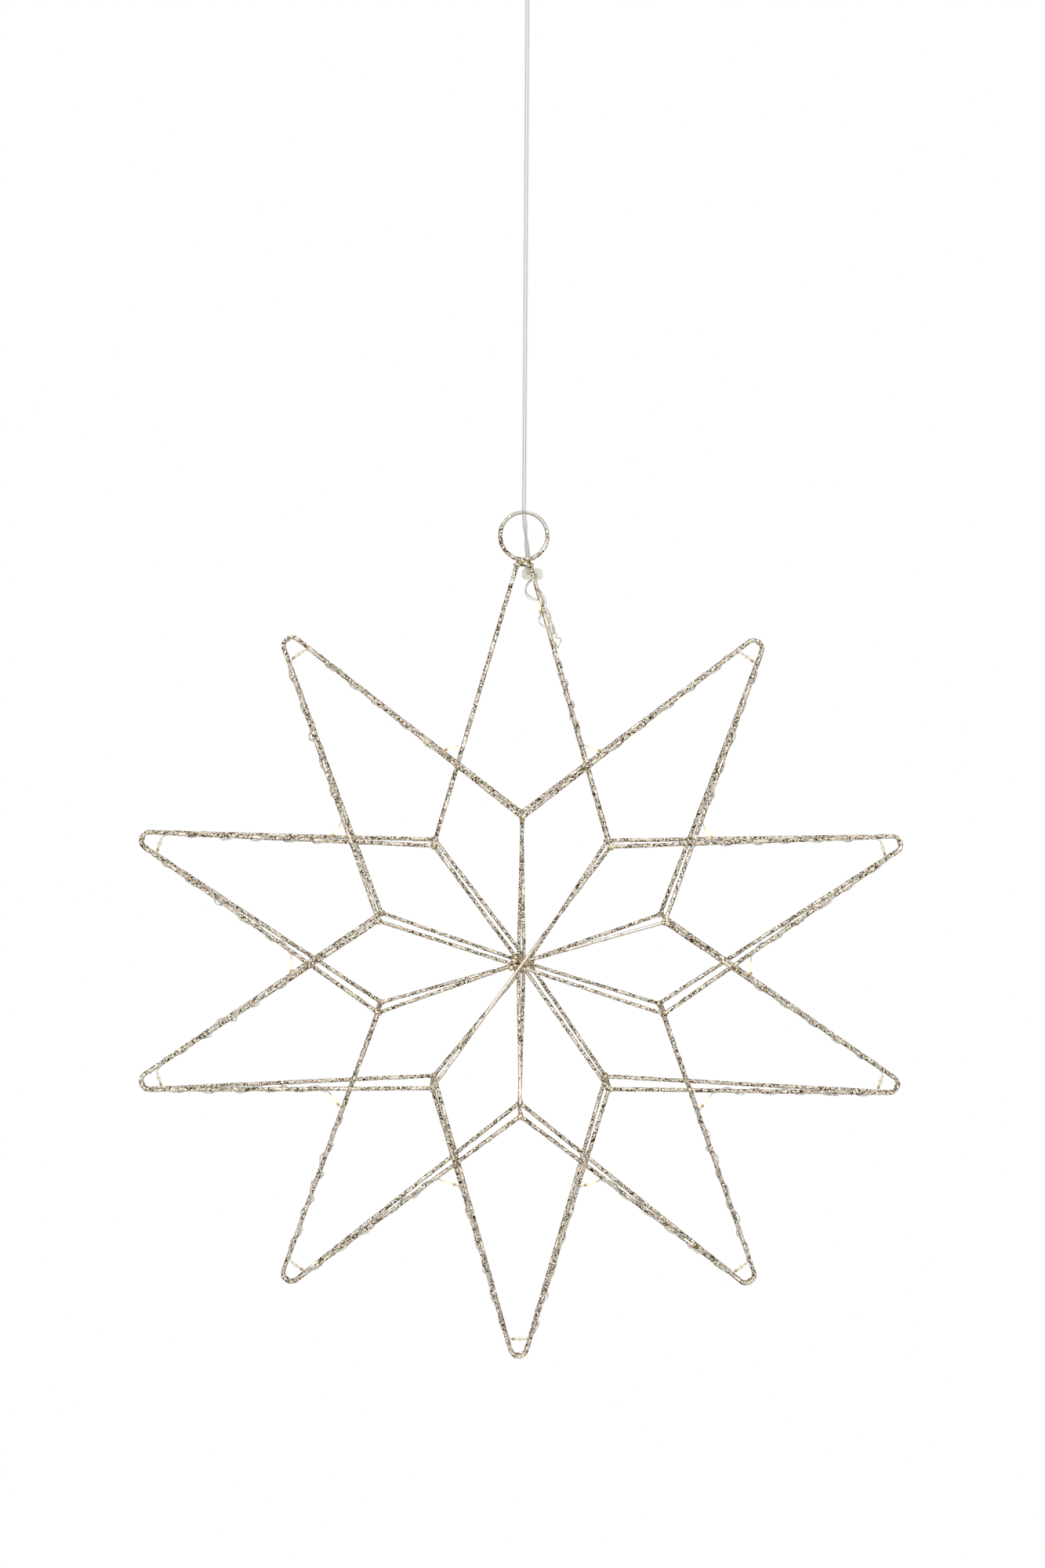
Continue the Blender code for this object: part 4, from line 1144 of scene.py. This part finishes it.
# %% Two finishes for the lights
AMBER_STOPS = ((0.0, (0.50, 0.32, 0.14)), (0.15, (0.60, 0.40, 0.18)), (0.23, (0.62, 0.48, 0.28)))
CREAM = (0.86, 0.76, 0.54)
PALE = (0.92, 0.85, 0.70)
CHIP_EDGE = (0.50, 0.40, 0.27)
PALE_GLOW = (1.0, 0.90, 0.66)
DARK = (0.0, 0.0, 0.0)
DENSITY = ((0.0, 0.9), (0.22, 0.9), (0.30, 0.42), (0.53, 0.42), (0.57, 0.66), (0.61, 0.66), (0.65, 0.42),
           (0.88, 0.46), (1.0, 0.9))


def lit_patterns(start):
    """Along the drop: amber bead, then a cream body that glows most in its middle."""
    along = start.mark("along_drop")
    resin = along.steps(AMBER_STOPS + ((0.30, CREAM), (0.85, CREAM), (1.0, (0.66, 0.53, 0.34))))
    glow = along.steps(((0.0, (0.14, 0.06, 0.01)), (0.20, (0.30, 0.15, 0.03)), (0.34, (1.0, 0.86, 0.54)),
                        (0.60, (1.0, 0.92, 0.68)), (0.86, (0.90, 0.76, 0.48)), (1.0, (0.30, 0.22, 0.10))))
    return {"Base Color": resin, "Emission Color": glow}


def pale_patterns(start):
    """Along the drop: amber bead, then a nearly clear body with the dark edge of the chip in it."""
    along = start.mark("along_drop")
    resin = along.steps(AMBER_STOPS + ((0.30, PALE), (0.53, PALE), (0.56, CHIP_EDGE), (0.62, CHIP_EDGE),
                                       (0.65, PALE), (0.88, PALE), (1.0, (0.56, 0.46, 0.32))))
    cloud = along.steps([(place, (grey, grey, grey)) for place, grey in DENSITY])
    glow = along.steps(((0.20, DARK), (0.32, PALE_GLOW), (0.88, PALE_GLOW), (1.0, DARK)))
    alpha = cloud * 1.0  # a Math node makes the ramp's grey a plain number
    return {"Base Color": resin, "Alpha": alpha, "Emission Color": glow}


lit_drop = finish_named("lit_drop", {"Roughness": 0.2, "Emission Strength": 0.7}, lit_patterns)
pale_drop = finish_named("pale_drop", {"Roughness": 0.15, "IOR": 1.5, "Emission Strength": 0.25},
                         pale_patterns)

# %% [markdown]
# The connector is milky plastic, so the wires behind it show faintly, and so do two soldered joints inside.
# The joints could be modelled, but only their reddish blur is seen, so each is a soft ball of colour.

# %% The milky connector
SOLDER_JOINTS = ((-2.2, 0.6), (1.9, -0.9))  # mm aside and up from the block's middle
JOINT_INSIDE, JOINT_OUTSIDE = 2.2 * MM, 3.0 * MM
BLOCK_ALPHA, CLOUD_ALPHA, JOINT_ALPHA = 0.33, 0.1, 0.4
JOINT_STRENGTH = 0.55
JOINT_RED = (0.62, 0.38, 0.30, 1.0)


def connector_patterns(start):
    """Milky plastic with two faint reddish joints inside, as soft balls of colour."""
    place = start.place()
    noise = place.noise(350.0)
    milky = noise.steps(((0.3, (0.90, 0.89, 0.68)), (0.7, (0.97, 0.96, 0.79))))
    first, second = (
        place.vectors("DISTANCE", tuple(connector_middle + np.array([aside, 0.0, up]) * MM), out=1)
        .eased(JOINT_INSIDE, JOINT_OUTSIDE, JOINT_STRENGTH, 0.0) for aside, up in SOLDER_JOINTS)
    joints = first + second
    return {"Base Color": joints.mix(milky, JOINT_RED),
            "Alpha": joints * JOINT_ALPHA + noise * CLOUD_ALPHA + BLOCK_ALPHA}


milky_block = finish_named("milky_connector", {"Roughness": 0.35}, connector_patterns)

# %% Finishes and bodies of the other pieces
hand_over(light_string, fine_wire, "star", "light_strand")
hand_over(connector, milky_block, "star", "connector_block")
hand_over(cable_loop, clear_cable, "cord", "cable_loop")
hand_over(loop_clip, clear_clip, "cord", "loop_clip")
hand_over(hook_base, hook_white, "hook", "hook_base")
hand_over(hook_wire, hook_white, "hook", "hook_wire")
for number, piece in enumerate(lights, start=1):
    in_tip = number % 2 and number > 1
    hand_over(piece, pale_drop if in_tip else lit_drop, "star", f"led_drop_{number:02d}")
print(len(lights), "lights ride on the star")

# %% [markdown]
# The cable crosses the swivel. High above it the cable only swings, below it the cable turns with the star.
# Two pieces that meet there would show a sharp twist, so the cable is one piece: it gets its finish,
# its place is written into its points, and the measured model's cable parts are hidden.

# %% The cable across its swivel
for piece, material in ((twin_cable, clear_cable), (cable_cores, core_metal)):
    piece.data.materials.append(material)
    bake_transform(piece)
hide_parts("hanging_cable", "ring_cable")

# %% [markdown]
# ## Floor, backdrop and light
# The photograph has a pure white background. It is not made with brighter lamps, which would bleach the
# star: rays that come straight from the camera or through clear plastic see white, rays off the wires see a
# studio with a white front and back and grey sides, and everything else is lit by a plainer sky and three
# large soft lamps. The floor lies well below the star. To the camera it is nearly white in its middle and
# bleaches to pure white away from it, so that it has no edge.

# %% Floor
FLOOR_HEIGHT = -1.9
FLOOR_HALF = 5.0
FLOOR_PAINT = (0.86, 0.86, 0.86, 1.0)
WHITE = (1.0, 1.0, 1.0, 1.0)
BLEACH_FROM, BLEACH_TO = 0.8, 2.4  # metres from the middle
BLEACH_LEAST = 0.8
floor_mesh = bpy.data.meshes.new("floor")
corners = [(x * FLOOR_HALF, y * FLOOR_HALF, FLOOR_HEIGHT) for x, y in ((-1, -1), (1, -1), (1, 1), (-1, 1))]
floor_mesh.from_pydata(corners, [], [(0, 1, 2, 3)])
floor = bpy.data.objects.new("floor", floor_mesh)
bpy.context.scene.collection.objects.link(floor)
floor_paint = bpy.data.materials.new("floor_paint")
start = emptied(floor_paint)
plain = start.node("ShaderNodeBsdfDiffuse", {}, {"Color": FLOOR_PAINT})
white = start.node("ShaderNodeEmission", {}, {"Color": WHITE, "Strength": 1.0})
seen = start.node("ShaderNodeLightPath")
from_middle = start.place().vectors("DISTANCE", (0.0, 0.0, FLOOR_HEIGHT), out=1)
bleaching = from_middle.eased(BLEACH_FROM, BLEACH_TO, BLEACH_LEAST, 1.0)
surface = start.node("ShaderNodeMixShader", {}, {0: seen * bleaching, 1: plain, 2: white})
start.node("ShaderNodeOutputMaterial", {}, {"Surface": surface})
floor_mesh.materials.append(floor_paint)
print(f"floor {2 * FLOOR_HALF:.0f} m wide at z {FLOOR_HEIGHT} m")

# %% Sky and lamps
SKY_LEVEL = 0.55
SIDE_LEVEL = 0.11  # what a mirror sees beside the star, between a white front and a white backdrop
FRONT_FADE = (-0.4, 0.35)  # share of a ray's way that goes to the back
BACK_FADE = (0.75, 0.98)
world = bpy.data.worlds.new("studio")
bpy.context.scene.world = world
start = emptied(world)
paths = start.node("ShaderNodeLightPath")
from_camera, glossy, through = (paths.output(f"Is {kind} Ray")
                                for kind in ("Camera", "Glossy", "Transmission"))
to_back = start.node("ShaderNodeSeparateXYZ", {}, {0: start.node("ShaderNodeTexCoord", out=0)}, out=1)
front_light = to_back.eased(*FRONT_FADE, 1.0, SIDE_LEVEL)
mirrored = front_light.math("MAXIMUM", to_back.eased(*BACK_FADE, SIDE_LEVEL, 1.0))
clear_view = from_camera.math("MAXIMUM", through)
strength = (SKY_LEVEL + clear_view * (1 - SKY_LEVEL)) * (1 - glossy) + glossy * mirrored
sky = start.node("ShaderNodeBackground", {}, {"Color": WHITE, "Strength": strength})
start.node("ShaderNodeOutputWorld", {}, {"Surface": sky})

# Each lamp's name, place in metres, size in metres and power in watts
LAMPS = (("key_lamp", (-1.3, -1.6, 0.5), 1.0, 11.0), ("fill_lamp", (1.6, -1.2, -0.2), 1.2, 6.0),
         ("top_lamp", (0.2, 0.5, 0.9), 1.2, 6.0))
for name, place, size, power in LAMPS:
    data = bpy.data.lights.new(name, "AREA")
    data.size = size
    data.energy = power
    lamp = bpy.data.objects.new(name, data)
    lamp.location = place
    lamp.rotation_mode = "QUATERNION"
    lamp.rotation_quaternion = Vector(unit(HUB - place)).to_track_quat("-Z", "Y")
    bpy.context.scene.collection.objects.link(lamp)
bpy.context.scene.view_settings.view_transform = "Standard"
print(len(LAMPS), "lamps")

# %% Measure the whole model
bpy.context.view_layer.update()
shown = [piece for piece in bpy.data.objects if piece.type == "MESH" and not piece.hide_render]
print("whole model", triangle_count(*shown), "triangles")
